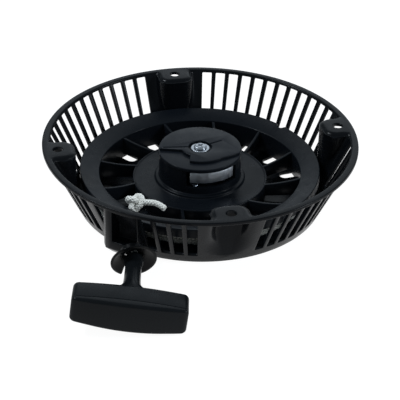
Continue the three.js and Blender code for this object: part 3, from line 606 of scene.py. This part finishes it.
def mouthSpot(radius, share):
    reach, plain, corner, endAngle = channelEnd(radius)
    before = channelPoint(plain) if reach > 0.01 else (radius, 0.001)
    after = polar(radius, endAngle)
    return tuple(b * (1 - share) ** 2 + 2 * c * share * (1 - share) + a * share ** 2
                 for b, c, a in zip(before, corner, after))


def wallRows():
    # the rounded foot, then the cone, with rows close together where the channels start
    foot = 1.8
    centre = wallRadius(foot * (1 - math.sin(slope))) - foot * math.cos(slope)
    rows = [(centre - 2, 0.0)]
    for k in range(5):
        angle = math.radians(-90) + (math.radians(90) - slope) * k / 4
        rows.append((centre + foot * math.cos(angle), foot + foot * math.sin(angle)))
    for z in (4, 6.93, 7.5, 8.3, 9.6, 11.6, 14, 17, 20, 23, 26, 27.6, 30, 33, 36.5, 39, 41, 42.8, 43.6):
        rows.append((wallRadius(z), z))
    return rows


# one quarter of the wall, from the middle of a tower to the middle of the next
def wallQuarter(name, closedSlots):
    rows = wallRows()
    half = shell["slotWidth"] / 2
    edges = []
    for i in range(shell["slots"]):
        middle = shell["slotStart"] + shell["slotPitch"] * i
        edges += [middle - half, middle - half / 3, middle + half / 3, middle + half]
        if i < shell["slots"] - 1:
            edges.append(middle + shell["slotPitch"] / 2)
    channelSteps, mouthSteps, panelSteps = 10, 7, 4
    side = [("channel", k / channelSteps) for k in range(channelSteps + 1)]
    side += [("mouth", k / mouthSteps) for k in range(1, mouthSteps + 1)]
    side += [("panel", k / panelSteps) for k in range(1, panelSteps)]
    columns = [(kind, share, 0) for kind, share in side]
    slotFirst = len(columns)
    columns += [("fixed", angle, 0) for angle in edges]
    columns += [(kind, share, 90) for kind, share in reversed(side)]

    def point(column, row):
        kind, share, turn = column
        radius, z = row
        if kind == "channel":
            x, y = plainSpot(radius, share)
        elif kind == "mouth":
            x, y = mouthSpot(radius, share)
        elif kind == "panel":
            past = channelEnd(radius)[3]
            x, y = polar(radius, past + (edges[0] - past) * share)[:2]
        else:
            x, y = polar(radius, share)[:2]
        if turn:
            y = -y
        swing = math.radians(turn)
        return (x * math.cos(swing) - y * math.sin(swing), x * math.sin(swing) + y * math.cos(swing), z)

    vertices = [point(column, row) for row in rows for column in columns]
    width = len(columns)
    faces = []
    for r in range(len(rows) - 1):
        low, high = rows[r][1], rows[r + 1][1]
        inSlotRows = low >= shell["slotBottom"] - 0.01 and high <= shell["slotTop"] + 0.01
        inBossRows = low >= shell["slotBottom"] - 0.01 and high <= 41.01
        for c in range(width - 1):
            at = c - slotFirst
            slot, cell = divmod(at, 5)
            inSlot = 0 <= at < len(edges) - 1 and cell < 3
            inBoss = closedSlots and 0 <= at < len(edges) - 1 and (
                (slot == closedSlots[0] and cell > 1) or closedSlots[0] < slot <= closedSlots[-1])
            inBoss = inBoss and not (slot == closedSlots[-1] and cell > 2)
            if inSlot and inSlotRows and slot not in closedSlots:
                continue
            if inBoss and inBossRows:
                continue
            first = r * width + c
            faces.append((first, first + 1, first + 1 + width, first + width))
    return meshObject(name, vertices, faces)


def roundedSlots(piece):
    # the edges that run through the wall at the corners of the slots
    bm = bmesh.new()
    bm.from_mesh(piece.data)
    chosen = []
    for edge in bm.edges:
        a, b = edge.verts[0].co / mm, edge.verts[1].co / mm
        if not 1.4 < (a - b).length < 3.4 or len(edge.link_faces) != 2:
            continue
        if edge.calc_face_angle(0.0) < math.radians(60):
            continue
        outward = Vector((a.x, a.y, 0)).normalized()
        if abs((a - b).normalized().dot(outward)) < 0.85:
            continue
        middle = (a.z + b.z) / 2
        if min(abs(middle - shell["slotBottom"]), abs(middle - shell["slotTop"])) < 1.6:
            chosen.append(edge)
    bmesh.ops.bevel(bm, geom=chosen, offset=shell["slotCorner"] * mm, segments=4, profile=0.5,
                    affect="EDGES", clamp_overlap=True)
    bm.to_mesh(piece.data)
    bm.free()
    return piece


def housingWall():
    regular = wallQuarter("wallQuarter", [])
    copies = grown(regular, copiesRound, {
        "Count": 3, "First angle": shell["earAngle"] - 90, "Pitch": 90.0, "Seed": 1,
        "Finish": housingFinish})
    special = wallQuarter("wallQuarterBoss", [4, 5, 6, 7])
    placed(special, Matrix.Rotation(math.radians(shell["earAngle"] + 180), 4, "Z"))
    wall = joined("housingWall", [copies, special])
    bm = bmesh.new()
    bm.from_mesh(wall.data)
    bmesh.ops.remove_doubles(bm, verts=bm.verts, dist=0.01 * mm)
    bm.to_mesh(wall.data)
    bm.free()
    thick = wall.modifiers.new("thickness", "SOLIDIFY")
    thick.thickness = shell["wall"] * mm
    thick.offset = -1
    thick.use_even_offset = True
    applied(wall)
    roundedSlots(wall)
    return bevelled(wall, 0.32, 2, 40, clamp=False)


def housingLip():
    top, low = shell["height"], shell["height"] - 2.3
    inner, outer = wallRadius(top) - shell["wall"] - 0.4, shell["rimRadius"]
    return turned("housingLip", [
        (inner, low, 0.3), (outer, low, 0.5), (outer, top, 0.7), (inner, top, 1.3)], 240)


# the wall's outer face from the middle of a tower's channel to past its mouth, at one radius
def flankPath(radius, past=1.6, steps=12):
    path = [plainSpot(radius, k / steps) for k in range(steps)]
    path += [mouthSpot(radius, k / steps) for k in range(steps + 1)]
    turn = channelEnd(radius)[3]
    path += [polar(radius, turn + past * k / 4)[:2] for k in range(1, 5)]
    return [Vector(spot) for spot in path]


# a tower's top: it follows the wall, and its edge towards the bowl is well rounded
def towerTop():
    top, edge, skin = shell["height"] + 0.03, shell["earEdge"], shell["wall"] + 0.05
    path = flankPath(wallRadius(43.6))
    away = []
    for i, point in enumerate(path):
        along = path[min(i + 1, len(path) - 1)] - path[max(i - 1, 0)]
        away.append(Vector((-along.y, along.x)).normalized() if i else Vector((-1, 0)))
    levels = [(top - edge - 1.4, 0.0)]
    for k in range(8):
        swing = math.pi / 2 * k / 7
        levels.append((top - edge * (1 - math.sin(swing)), edge * (1 - math.cos(swing))))
    rings = []
    for z, inset in levels:
        side = []
        for i, (point, out) in enumerate(zip(path, away)):
            spot = point + out * (skin - inset)
            limit = min(106.4, wallRadius(z) - 1.0)
            side.append(spot * min(1.0, limit / spot.length))
        outer = min(107.3, wallRadius(z) - 0.3)
        half = side + [Vector(polar(outer, 10.0 * (1 - k / 6))[:2]) for k in range(6)]
        ring = half + [Vector((outer, 0))] + [Vector((v.x, -v.y)) for v in reversed(half[1:])]
        rings.append([(v.x, v.y, z) for v in ring])
    count = len(rings[0])
    vertices = [v for ring in rings for v in ring]
    faces = [tuple(range(count)), tuple(reversed(range((len(rings) - 1) * count, len(rings) * count)))]
    for i in range(len(rings) - 1):
        for j in range(count):
            k = (j + 1) % count
            faces.append((i * count + j, (i + 1) * count + j, (i + 1) * count + k, i * count + k))
    cap = cleaned(meshObject("towerTop", vertices, faces), 0.0005)
    # the tower is hollow up to a thin top, which the screw hole goes through
    bore, ceiling = shell["screwHole"], top - 2.1
    hollow = shell["boltCircle"] - shell["channelStart"] - 0.1
    hole = turned("screwHole", [
        (0, 30, 0), (hollow, 30, 0), (hollow, ceiling, 1.2), (bore, ceiling, 0), (bore, 45.1, 0),
        (bore + 1, 46.1, 0), (bore + 1, 60, 0), (0, 60, 0)], 48)
    placed(hole, Matrix.Translation((shell["boltCircle"], 0, 0)))
    return cut(cap, hole)


def housingFloor():
    floorDisc = turned("housingFloor", [
        (0, 0, 0), (shell["wallBase"] - 1.4, 0, 0.2), (shell["wallBase"] - 0.6, shell["floor"], 0),
        (0, shell["floor"], 0),
    ], 144)
    w = shell["ventWidth"] / 2
    outline = [(shell["ventFrom"] + w - w * math.sin(t), w * math.cos(t))
               for t in [math.pi * k / 12 for k in range(13)]]
    outline += [(shell["ventTo"] - w + w * math.sin(t), -w * math.cos(t))
                for t in [math.pi * k / 12 for k in range(13)]]
    vent = plate("floorVents", outline, -3, 6)
    vents = grown(vent, copiesRound, {
        "Count": shell["vents"], "First angle": 0.0, "Pitch": 360.0 / shell["vents"], "Seed": 2,
        "Finish": housingFinish})
    cut(floorDisc, vents)
    return bevelled(floorDisc, 0.35, 2, 50, clamp=False)


def centrePost():
    return turned("centrePost", [
        (0, 0.6, 0), (13.5, 0.6, 0), (13.5, 10.8, 0.5), (8, 10.8, 0.3), (8, 24.4, 0.4), (5.8, 24.4, 0.2),
        (5.8, 36.1, 0.3), (4.6, 36.1, 0.2), (4.6, 19.7, 0), (0, 19.7, 0),
    ], 96)


def bossOutline(root, outer, inset, corner):
    s = shell
    return softened([
        (*polar(root, s["bossFrom"] - s["bossFlare"] + inset)[:2], 0),
        (*polar(outer, s["bossFrom"] + inset)[:2], corner),
        (*polar(outer + 0.5, (s["bossFrom"] + s["bossTo"]) / 2)[:2], 0),
        (*polar(outer, s["bossTo"] - inset)[:2], 1.2),
        (*polar(root, s["bossTo"] - inset)[:2], 0),
    ], 6)


def inOutlet():
    low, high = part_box("rope_guide")
    centreX = (low.x + high.x) / 2 / mm
    return (Matrix.Translation((centreX, guide["frontY"], guide["z"]))
            @ Matrix.Rotation(math.radians(guide["yaw"]), 4, "Z")
            @ Matrix.Rotation(math.radians(90 + guide["tilt"]), 4, "X"))


guide = {
    "frontY": -107.5, "z": 14.6, "tilt": 18.0, "yaw": 12.0, "dishRadius": 15.0, "throat": 6.0,
    "wall": 1.6, "depth": 4.6, "sleeve": 9.0, "slotAngle": 248.0, "slotWidth": 4.6,
}


# the rope's sizes, and where it leaves the pulley and enters the guide
ropeSet = {
    "radius": 2.15, "wraps": 3, "leadAngle": 228.5, "leadZ": 15.75, "coilRadius": 76.05,
    "strands": 5, "lay": 11.0, "core": 1.3, "weave": 0.27, "strand": 0.66,
}
outletX = (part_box("rope_lead")[0].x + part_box("rope_lead")[1].x) / 2 / mm
grooveBottom = 4.7


def ropeStart():
    r = ropeSet
    throat = Vector((outletX, guide["frontY"] + guide["sleeve"], guide["z"] - 0.3))
    angle = math.atan2(throat.y, throat.x) - math.acos(r["coilRadius"] / math.hypot(throat.x, throat.y))
    z = grooveBottom + 0.3 + r["radius"]
    return Vector((*polar(r["coilRadius"], math.degrees(angle))[:2], z)), throat, math.degrees(angle)


def outletBoss():
    s = shell
    body = plate("outletBoss", bossOutline(s["bossRoot"], s["bossRadius"], 0, 9.0), s["bossBottom"], 44.6)
    keep = turned("bossSlant", [
        (60, s["bossBottom"] - 1, 0), (s["bossRadius"] - s["bossSlope"], s["bossBottom"] - 0.01, 2.5),
        (s["bossRadius"] + 0.2, s["bossBottom"] + s["bossSlope"], 3.5), (s["bossRadius"] + 0.2, 60, 0),
        (60, 60, 0),
    ], 120)
    cut(body, keep, "INTERSECT")
    g = guide
    bore = turned("outletBore", [
        (0, -9.4, 0), (7.9, -9.4, 0), (7.9, -5.2, 0), (g["dishRadius"] + 0.3, -1.9, 0),
        (g["dishRadius"] + 0.3, 9, 0), (0, 9, 0)], 48)
    cut(body, placed(bore, inOutlet()))
    inside = turned("bowl", [
        (0, -5, 0), (wallRadius(-5) - 1.2, -5, 0), (wallRadius(60) - 1.2, 60, 0), (0, 60, 0)], 120)
    cut(body, inside)
    hollow = bossOutline(s["bossRoot"] - 6, s["bossRadius"] - s["nicheDepth"] - 2.2, 1.4, 2.5)
    cut(body, plate("bossHollow", hollow, s["bossBottom"] + 5.8, s["nicheTop"]))
    # its lower corner beside the wall is cut back on a slant
    slant = plate("bossCorner", softened([
        (-80, -4, 0), (-56.2, -4, 0), (-56.2, 4.0, 3.0), (-62.4, 16.5, 8.0), (-80, 16.5, 0)], 8), 40, 120)
    cut(body, placed(slant, Matrix.Rotation(math.radians(90), 4, "X")))
    near, far = s["bossRadius"] - s["nicheDepth"], 125
    niche = plate("bossNiche", softened([
        (*polar(near, s["nicheFrom"])[:2], 1.2), (*polar(far, s["nicheFrom"] - 0.4)[:2], 0),
        (*polar(far, s["nicheTo"] + 0.6)[:2], 0), (*polar(near, s["nicheTo"])[:2], 1.2)]),
        s["nicheBottom"], s["nicheTop"])
    cone = turned("wallCone", [
        (0, 0, 0), (wallRadius(0) + 0.2, 0, 0), (wallRadius(60) + 0.2, 60, 0), (0, 60, 0)], 120)
    cut(niche, cone)
    cut(body, niche)
    start, throat, _ = ropeStart()
    bend = start + Vector((throat.x - start.x, throat.y - start.y, 0)).normalized() * 26
    aim = (throat - bend).to_track_quat("Z", "Y").to_matrix().to_4x4()
    cut(body, placed(rod("ropeTunnel", 3.1, 12, 50, 32), Matrix.Translation(bend) @ aim))
    return bevelled(body, 0.6, 3, 50, clamp=False)


towers = grown(towerTop(), copiesRound, {
    "Count": 4, "First angle": shell["earAngle"], "Pitch": 90.0, "Seed": 3, "Finish": housingFinish})
housing = joined("starterHousing", [
    housingWall(), housingLip(), towers, housingFloor(), centrePost(), outletBoss()])
smoothed(housing, 38)
finished(housing, housingFinish, "housing", "starter_housing")
print("housing made")


# the flared guide that the rope runs out through
def ropeGuide():
    g = guide
    sleeve = g["throat"] + g["wall"]
    dish = turned("ropeGuideDish", [
        (g["throat"], -g["sleeve"], 0.3), (sleeve, -g["sleeve"], 0.3), (sleeve, -g["depth"], 0.8),
        (g["dishRadius"] - 1, -1.4, 0.5), (g["dishRadius"], -0.5, 0.4), (g["dishRadius"], 0.1, 0.35),
        (g["dishRadius"] - 1.5, 0.3, 0.6), (sleeve + 0.4, -g["depth"] + g["wall"] + 0.5, 1.6),
        (g["throat"], -g["depth"] + 0.4, 0.7)], 96)
    slot = plate("guideSlot", softened([
        (sleeve + 0.2, -g["slotWidth"] / 2, 1.6), (30, -g["slotWidth"] / 2 - 0.5, 0),
        (30, g["slotWidth"] / 2 + 0.5, 0), (sleeve + 0.2, g["slotWidth"] / 2, 1.6)]), -8, 8)
    placed(slot, Matrix.Rotation(math.radians(g["slotAngle"]), 4, "Z"))
    cut(dish, slot)
    bevelled(dish, 0.25, 2, 50, clamp=False)
    return smoothed(placed(dish, inOutlet()), 35)


finished(ropeGuide(), guideFinish, "housing", "rope_guide")
print("rope guide made")


# the pulley with its rope groove, leaning ribs, spring cup and drive hub
drum = {
    "groove": 73.6, "flange": 84.5, "pocket": 71.0, "deck": 47.5, "cup": 2.2, "deckTop": 14.2,
    "hub": 28.9, "hubWall": 2.7, "hubFloor": 17.2, "hubTop": 33.0, "bead": 31.5, "windowFrom": 251.0,
    "windowTo": 329.0, "windowBottom": 21.5, "ribs": 12, "ribAngle": 22.5, "ribLean": 7.0,
    "knotAngle": 232.5, "notchAngle": 44.5, "notch": 3.2, "skirt": 6.6,
}
grooveTop = 18.2
flangeTop = 23.8


def pulleyRim():
    d = drum
    return turned("pulleyRim", [
        (d["pocket"], grooveBottom - 1.6, 0.3), (d["flange"] - 1.3, grooveBottom - 1.6, 0.5),
        (d["flange"] - 1.3, grooveBottom, 0.5), (d["groove"], grooveBottom, 0.8),
        (d["groove"], grooveTop, 0.8), (d["flange"] - 1.6, flangeTop - 1.9, 0.5),
        (d["flange"] - 1.6, flangeTop - d["skirt"], 0.3), (d["flange"], flangeTop - d["skirt"], 0.5),
        (d["flange"], flangeTop, 0.6), (d["pocket"], flangeTop - 4.0, 0.7),
    ], 240)


def pulleyHub():
    d = drum
    low = 4.0
    return turned("pulleyHub", [
        (9.6, 11.9, 0.2), (d["deck"] - d["cup"], 11.9, 0.3), (d["deck"] - d["cup"], low, 0.2),
        (d["deck"], low, 0.3), (d["deck"], d["deckTop"] + 1, 0.8), (d["deck"] - 1.8, d["deckTop"], 1.2),
        (d["bead"] + 0.3, d["deckTop"], 0.9), (d["bead"], d["deckTop"] + 1.7, 0.8),
        (d["hub"], d["deckTop"] + 2.0, 0.7), (d["hub"], d["hubTop"], 0.5),
        (d["hub"] - d["hubWall"], d["hubTop"], 0.5), (d["hub"] - d["hubWall"], d["hubFloor"], 0.6),
        (12.6, d["hubFloor"], 0.6), (12.6, 24, 0.4), (9.6, 24, 0.3),
    ], 192)


def pulleyRib():
    d = drum
    inner = Vector(polar(d["deck"] - 1.2, -d["ribLean"]))
    outer = Vector(polar(d["pocket"] + 1.2, 0))
    length = (outer - inner).length
    outerTop, innerTop = flangeTop - 4.25, d["deckTop"] + 0.7
    # the side view, from the deck out to the rim, with a slightly hollow top edge
    side = [(0, 6.0), (length, 6.0), (length, outerTop)]
    for k in range(1, 8):
        t = k / 8
        dip = 0.9 * math.sin(math.pi * t)
        side.append((length * (1 - t), outerTop + (innerTop - outerTop) * t - dip))
    side.append((0, innerTop))
    rib = plate("pulleyRib", side, -1.0, 1.0)
    bevelled(rib, 0.35, 2, 60)
    heading = math.atan2((outer - inner).y, (outer - inner).x)
    upright = Matrix.Rotation(math.pi / 2, 4, "X")
    return placed(rib, Matrix.Translation(inner) @ Matrix.Rotation(heading, 4, "Z") @ upright)


def ropePulley():
    d = drum
    rim = pulleyRim()
    notch = rod("ropeNotch", d["notch"] + 0.5, 10, 40)
    cut(rim, placed(notch, Matrix.Translation(polar(d["flange"] + 0.6, d["notchAngle"]))))
    hole = rod("ropeHole", 2.6, 60, 76, 32)
    cut(rim, placed(hole, Matrix.Translation((0, 0, ropeSet["leadZ"]))
                    @ Matrix.Rotation(math.radians(ropeSet["leadAngle"]), 4, "Z")
                    @ Matrix.Rotation(math.radians(90), 4, "Y")))
    hub = pulleyHub()
    opening = arcPoints(45, d["windowFrom"], d["windowTo"], 16)
    opening += arcPoints(d["hub"] - d["hubWall"] - 1.5, d["windowTo"], d["windowFrom"], 16)
    cut(hub, plate("hubWindow", opening, d["windowBottom"], 60))
    bevelled(hub, 0.3, 2, 50, clamp=False)
    ribs = grown(pulleyRib(), copiesRound, {
        "Count": d["ribs"] - 1, "First angle": d["knotAngle"] + 30.0, "Pitch": 30.0, "Seed": 4,
        "Finish": pulleyFinish})
    seat = turned("pawlSeat", [(1.65, 16.8, 0), (3.4, 16.8, 0), (3.4, 21.2, 0.4), (1.65, 21.2, 0.2)], 40)
    placed(seat, Matrix.Translation(polar(pawlSet["pinDistance"], pawlSet["pinAngle"])))
    return smoothed(joined("ropePulley", [rim, hub, ribs, seat]), 38)


pawlSet = {
    "from": 256.0, "to": 323.0, "bottom": 24.8, "top": 32.8, "outer": 28.4, "inner": 22.6,
    "heel": 21.0, "pinAngle": 262.0, "pinDistance": 25.0,
}
finished(ropePulley(), pulleyFinish, "pulley", "rope_pulley")
print("pulley made")


# the steel pawl, seen through the window in the hub
def pawl():
    p = pawlSet
    outline = arcPoints(p["outer"], p["from"], p["to"] + 1.0, 24)
    outline += [polar(p["outer"] - 1.2, p["to"] + 1.6)[:2], polar(p["inner"] + 3.2, p["to"] - 1)[:2]]
    outline += [polar(p["inner"] + 0.6, p["to"] - 9)[:2]]
    outline += list(reversed(arcPoints(p["inner"], p["pinAngle"] + 17.5, p["to"] - 12, 14)))
    outline += [polar(p["heel"], p["pinAngle"] + 15)[:2], polar(p["heel"], p["pinAngle"] + 6)[:2]]
    outline += list(reversed(arcPoints(p["inner"], p["from"], p["pinAngle"] + 4, 3)))
    body = plate("drivePawl", outline, p["bottom"], p["top"])
    hole = rod("pinHole", 1.65, 20, 40, 32)
    cut(body, placed(hole, Matrix.Translation(polar(p["pinDistance"], p["pinAngle"]))))
    bevelled(body, 0.4, 2, 50)
    return smoothed(body, 35)


finished(pawl(), pawlFinish, "pawl", "pawl")
print("pawl made")


# the cam plate that throws the pawl out, with its stepped face
cam = {"radius": 29.3, "bottom": 33.3, "top": 36.0, "rise": 1.9, "bore": 8.2, "neck": 5.95}


def camFaceOutline():
    outer = cam["radius"] - 0.8
    points = arcPoints(outer, -15, 187, 64)
    points += arcPoints(13.5, 200, 240, 10)
    points += arcPoints(20.8, 250, 315, 18)
    points += [polar(22.5, 324)[:2]]
    return points


def camPlate():
    c = cam
    disc = turned("camDisc", [
        (c["neck"], c["bottom"], 0.2), (c["radius"], c["bottom"], 0.5), (c["radius"], c["top"], 0.6),
        (c["neck"], c["top"], 0.2)], 160)
    face = plate("camFace", camFaceOutline(), c["top"] - 0.6, c["top"] + c["rise"])
    cut(face, rod("camBore", c["bore"], 30, 60, 64))
    for start, end, angle in ((c["bore"] - 1, 18, 32), (c["bore"] - 1, 26, 184)):
        groove = plate("camGroove", [(start, -0.5), (end, -0.5), (end, 0.5), (start, 0.5)],
                       c["top"] + c["rise"] - 0.8, 60)
        cut(face, placed(groove, Matrix.Rotation(math.radians(angle), 4, "Z")))
    bevelled(face, 0.45, 3, 45, clamp=False)
    peg = turned("camPeg", [(0, 25.8, 0), (1.6, 25.8, 0.3), (1.6, 34, 0), (0, 34, 0)], 32)
    placed(peg, Matrix.Translation(polar(19, 310)))
    return smoothed(joined("camPlate", [disc, face, peg]), 38)


finished(camPlate(), camFinish, "cam", "cam_plate")


# the centre screw's cross-recess head and its washer
def centreScrew():
    low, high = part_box("center_screw")
    tip, bottom = low.z / mm, high.z / mm - 1.9
    head = turned("centreScrew", [
        (0, tip, 0), (2.35, tip, 0.4), (2.35, bottom, 0), (4.5, bottom, 0.2), (4.5, bottom + 0.8, 0.3),
        (3.9, bottom + 1.5, 0.4), (2.8, bottom + 1.88, 0.5), (0, bottom + 1.9, 0)], 64)
    for angle in (0, 90):
        corners = [(-2.3, -0.5), (2.3, -0.5), (2.3, 0.5), (-2.3, 0.5)]
        bar = plate("recess", corners, bottom + 0.6, bottom + 4)
        cut(head, placed(bar, Matrix.Rotation(math.radians(angle + 38), 4, "Z")))
    bevelled(head, 0.12, 2, 40, clamp=False)
    return smoothed(head, 35)


def screwWasher():
    low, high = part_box("screw_washer")
    outer, under, top = (high.x - low.x) / 2 / mm, low.z / mm, high.z / mm
    return smoothed(turned("screwWasher", [
        (2.6, under, 0.1), (outer, under, 0.2), (outer, top, 0.3), (2.6, top, 0.1)], 80), 35)


finished(centreScrew(), zincFinish, "housing", "center_screw")
finished(screwWasher(), zincFinish, "housing", "screw_washer")
print("cam plate, screw and washer made")


# the rope: wound turns, knot in its pocket, and the run out to the handle
def smoothPath(points, perSpan=10):
    result = []
    count = len(points)
    for i in range(count - 1):
        p0 = Vector(points[max(0, i - 1)])
        p1, p2 = Vector(points[i]), Vector(points[i + 1])
        p3 = Vector(points[min(count - 1, i + 2)])
        for k in range(perSpan):
            t = k / perSpan
            result.append(0.5 * ((2 * p1) + (p2 - p0) * t + (2 * p0 - 5 * p1 + 4 * p2 - p3) * t * t
                                 + (3 * p1 - p0 - 3 * p2 + p3) * t * t * t))
    result.append(Vector(points[-1]))
    return result


def braided(name, points, step, lay=ropeSet["lay"]):
    r = ropeSet
    path = meshObject(name, points, [], [(i, i + 1) for i in range(len(points) - 1)])
    rope = grown(path, braidAlongPath, {
        "Strands": r["strands"], "Lay": lay * mm, "Core radius": r["core"] * mm,
        "Weave": r["weave"] * mm, "Strand radius": r["strand"] * mm, "Step": step * mm, "Seed": 5,
        "Finish": ropeFinish})
    return smoothed(rope, 80)


def woundTurns():
    r = ropeSet
    start, _, angle = ropeStart()
    first = r["leadAngle"] + 1
    swept = 720 + (angle + 360 - first) % 360
    points = []
    count = 260
    topZ = r["leadZ"]
    for i in range(count + 1):
        t = i / count
        drop = (topZ - start.z) * min(1.0, max(0.0, (t - 0.03) / 0.9))
        points.append(polar(r["coilRadius"], first + swept * t, topZ - drop))
    return braided("ropeCoil", points, step=1.25, lay=16.0)


def knotPath():
    r = ropeSet
    lead = Vector(polar(1, r["leadAngle"]))
    hole = lead * 73.0 + Vector((0, 0, r["leadZ"]))
    low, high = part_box("rope_inner_knot")
    centre = (low + Vector((7.0, 7.0, 0)) * mm) / mm
    centre.z = high.z / mm - 6.2
    size = 1.75
    loop = []
    for k in range(2, 37):
        t = 2 * math.pi * k / 38
        x = (math.sin(t) + 2 * math.sin(2 * t)) * size
        y = (math.cos(t) - 2 * math.cos(2 * t)) * size
        z = -math.sin(3 * t) * 2.35
        loop.append(centre + Vector((x, z * 0.9 + y * 0.35, y * 0.94)))
    start = [hole, lead * 68.5 + Vector((0, 0, r["leadZ"] + 0.3))]
    tail = [loop[-1] + Vector((3.0, -0.8, 1.0)), centre + Vector((11.5, -2.8, 2.2)),
            centre + Vector((16.5, -4.4, 1.4)), centre + Vector((20.2, -6.4, -0.2))]
    return smoothPath([tuple(p) for p in start + loop + tail], 6)


def ropeLine():
    start, throat, _ = ropeStart()
    level = Vector((throat.x - start.x, throat.y - start.y, 0)).normalized()
    points = [start + level * s for s in (0.5, 12, 26)]
    points += [points[2].lerp(throat, 0.5), throat + Vector((-0.6, 2.5, -0.3))]
    points += [Vector((outletX, -101, guide["z"] - 0.2))]
    points += [Vector((outletX, y, guide["z"])) for y in (-106, -112, -120, -130, -140, -146)]
    return braided("ropeRun", smoothPath([tuple(p) for p in points], 8), step=0.6)


# the wound turns get the rope painted grey, as painted shade
finished(woundTurns(), coilRopePaintedShade, "pulley", "rope_coil")
finished(braided("ropeKnot", knotPath(), step=0.4), ropeFinish, "pulley", "rope_inner_knot")
run = coated(ropeLine(), ropeFinish)
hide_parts("rope_run", "rope_lead")
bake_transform(run)
print("rope made")


# the T-shaped pull handle: a body with its neck, and a cap over the grip's outer face
grip = {
    "offset": 38.0, "length": 71.0, "height": 16.4, "arch": 1.8, "depth": 17.0, "capDepth": 6.0,
    "capEndDepth": 2.6, "roll": -7.0, "gap": 0.3,
}


def onRope():
    return (Matrix.Translation((outletX, guide["frontY"], guide["z"]))
            @ Matrix.Rotation(math.radians(90), 4, "X")
            @ Matrix.Rotation(math.radians(grip["roll"]), 4, "Z"))


# sections across the grip's length: x along it, y its height, z the distance out
def gripLoft(name, near, far, height, corner, nearCorner, farCorner, bow=0.0, middle=0.0):
    half = grip["length"] / 2
    stations = [half * (1 - 2 * k / 44) for k in range(45)]
    ends = [half - corner * (1 - math.cos(math.pi / 2 * k / 6)) for k in range(7)]
    xs = sorted(set([round(v, 4) for v in ends + [-e for e in ends] if abs(v) <= half]
                    + [round(v, 4) for v in stations if abs(v) < half - corner]))
    rings = []
    for x in xs:
        inset = max(0.0, abs(x) - (half - corner))
        pull = corner - math.sqrt(max(0.0, corner * corner - inset * inset))
        arch = middle * (1 - (x / half) ** 2)
        bulge = bow * (1 - (x / half) ** 2)
        h = height / 2 - pull * 0.75 + bulge
        low, high = near + pull * 0.55 * (nearCorner > 1), far - pull * 0.55 * (farCorner > 1) + arch
        ring = softened([
            (-h, low, nearCorner), (h, low, nearCorner), (h, high, farCorner), (-h, high, farCorner)], 5)
        rings.append([(x, y, z) for y, z in ring])
    return lofted(name, rings)


def handleBody():
    g = grip
    seam = g["offset"] + g["depth"]
    body = gripLoft("handleBody", g["offset"], seam, g["height"], 3.2, 4.2, 0.6, bow=g["arch"])
    # the neck swells where it meets the guide and spreads into the grip
    rings = []
    profile = [(-7.0, 2.9, 2.9), (-6.4, 3.2, 3.2), (-4.2, 3.8, 3.8), (-3.0, 4.4, 4.4), (-2.4, 5.0, 5.0),
               (-1.4, 6.2, 6.2), (0.6, 6.6, 6.6), (2.2, 6.2, 6.2), (3.6, 5.5, 5.5), (8, 5.3, 5.3),
               (16, 5.3, 5.2), (24, 5.4, 5.2), (28, 5.9, 5.4), (31, 7.0, 5.7), (33.5, 8.9, 6.1),
               (35.5, 11.6, 6.5), (37.2, 15.2, 6.9), (38.4, 19.0, 7.0), (40.5, 20.5, 6.8)]
    for z, a, b in profile:
        ring = []
        for k in range(40):
            t = 2 * math.pi * k / 40
            c, s = math.cos(t), math.sin(t)
            power = 2 / (2.0 + 0.8 * min(1.0, max(0.0, (z - 24) / 12)))
            ring.append((a * math.copysign(abs(c) ** power, c), b * math.copysign(abs(s) ** power, s), z))
        rings.append(ring)
    neck = lofted("handleNeck", rings)
    soft = neck.modifiers.new("soft", "SUBSURF")
    soft.levels = soft.render_levels = 1
    applied(neck)
    cut(neck, rod("ropeBore", 2.6, -9, 36))
    return smoothed(placed(joined("pullHandle", [body, neck]), onRope()), 40)


def handleCap():
    g = grip
    near = g["offset"] + g["depth"] + g["gap"]
    cap = gripLoft("handleCap", near, near + g["capEndDepth"], g["height"] + 0.6, 3.2, 0.5, 2.2,
                   bow=g["arch"], middle=g["capDepth"] - g["capEndDepth"])
    return smoothed(placed(cap, onRope()), 40)


finished(handleBody(), handleFinish, "handle", "handle_grip")
finished(handleCap(), handleFinish, "handle", "handle_cap")
print("handle made")


# the small inner pieces keep their CAD shapes and get their finishes
for node, look in {
    "post_insert": brassFinish, "thrust_washer": acetalFinish, "hub_washer": zincFinish,
    "brake_spring": springFinish, "pulley_bushing": acetalFinish, "rewind_spring": springFinish,
    "spring_keeper": zincFinish, "pawl_pin": zincFinish, "pawl_spring": springFinish,
    "handle_washer": zincFinish, "rope_outer_knot": ropeFinish,
}.items():
    coated(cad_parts[node], look)
print("inner pieces finished")
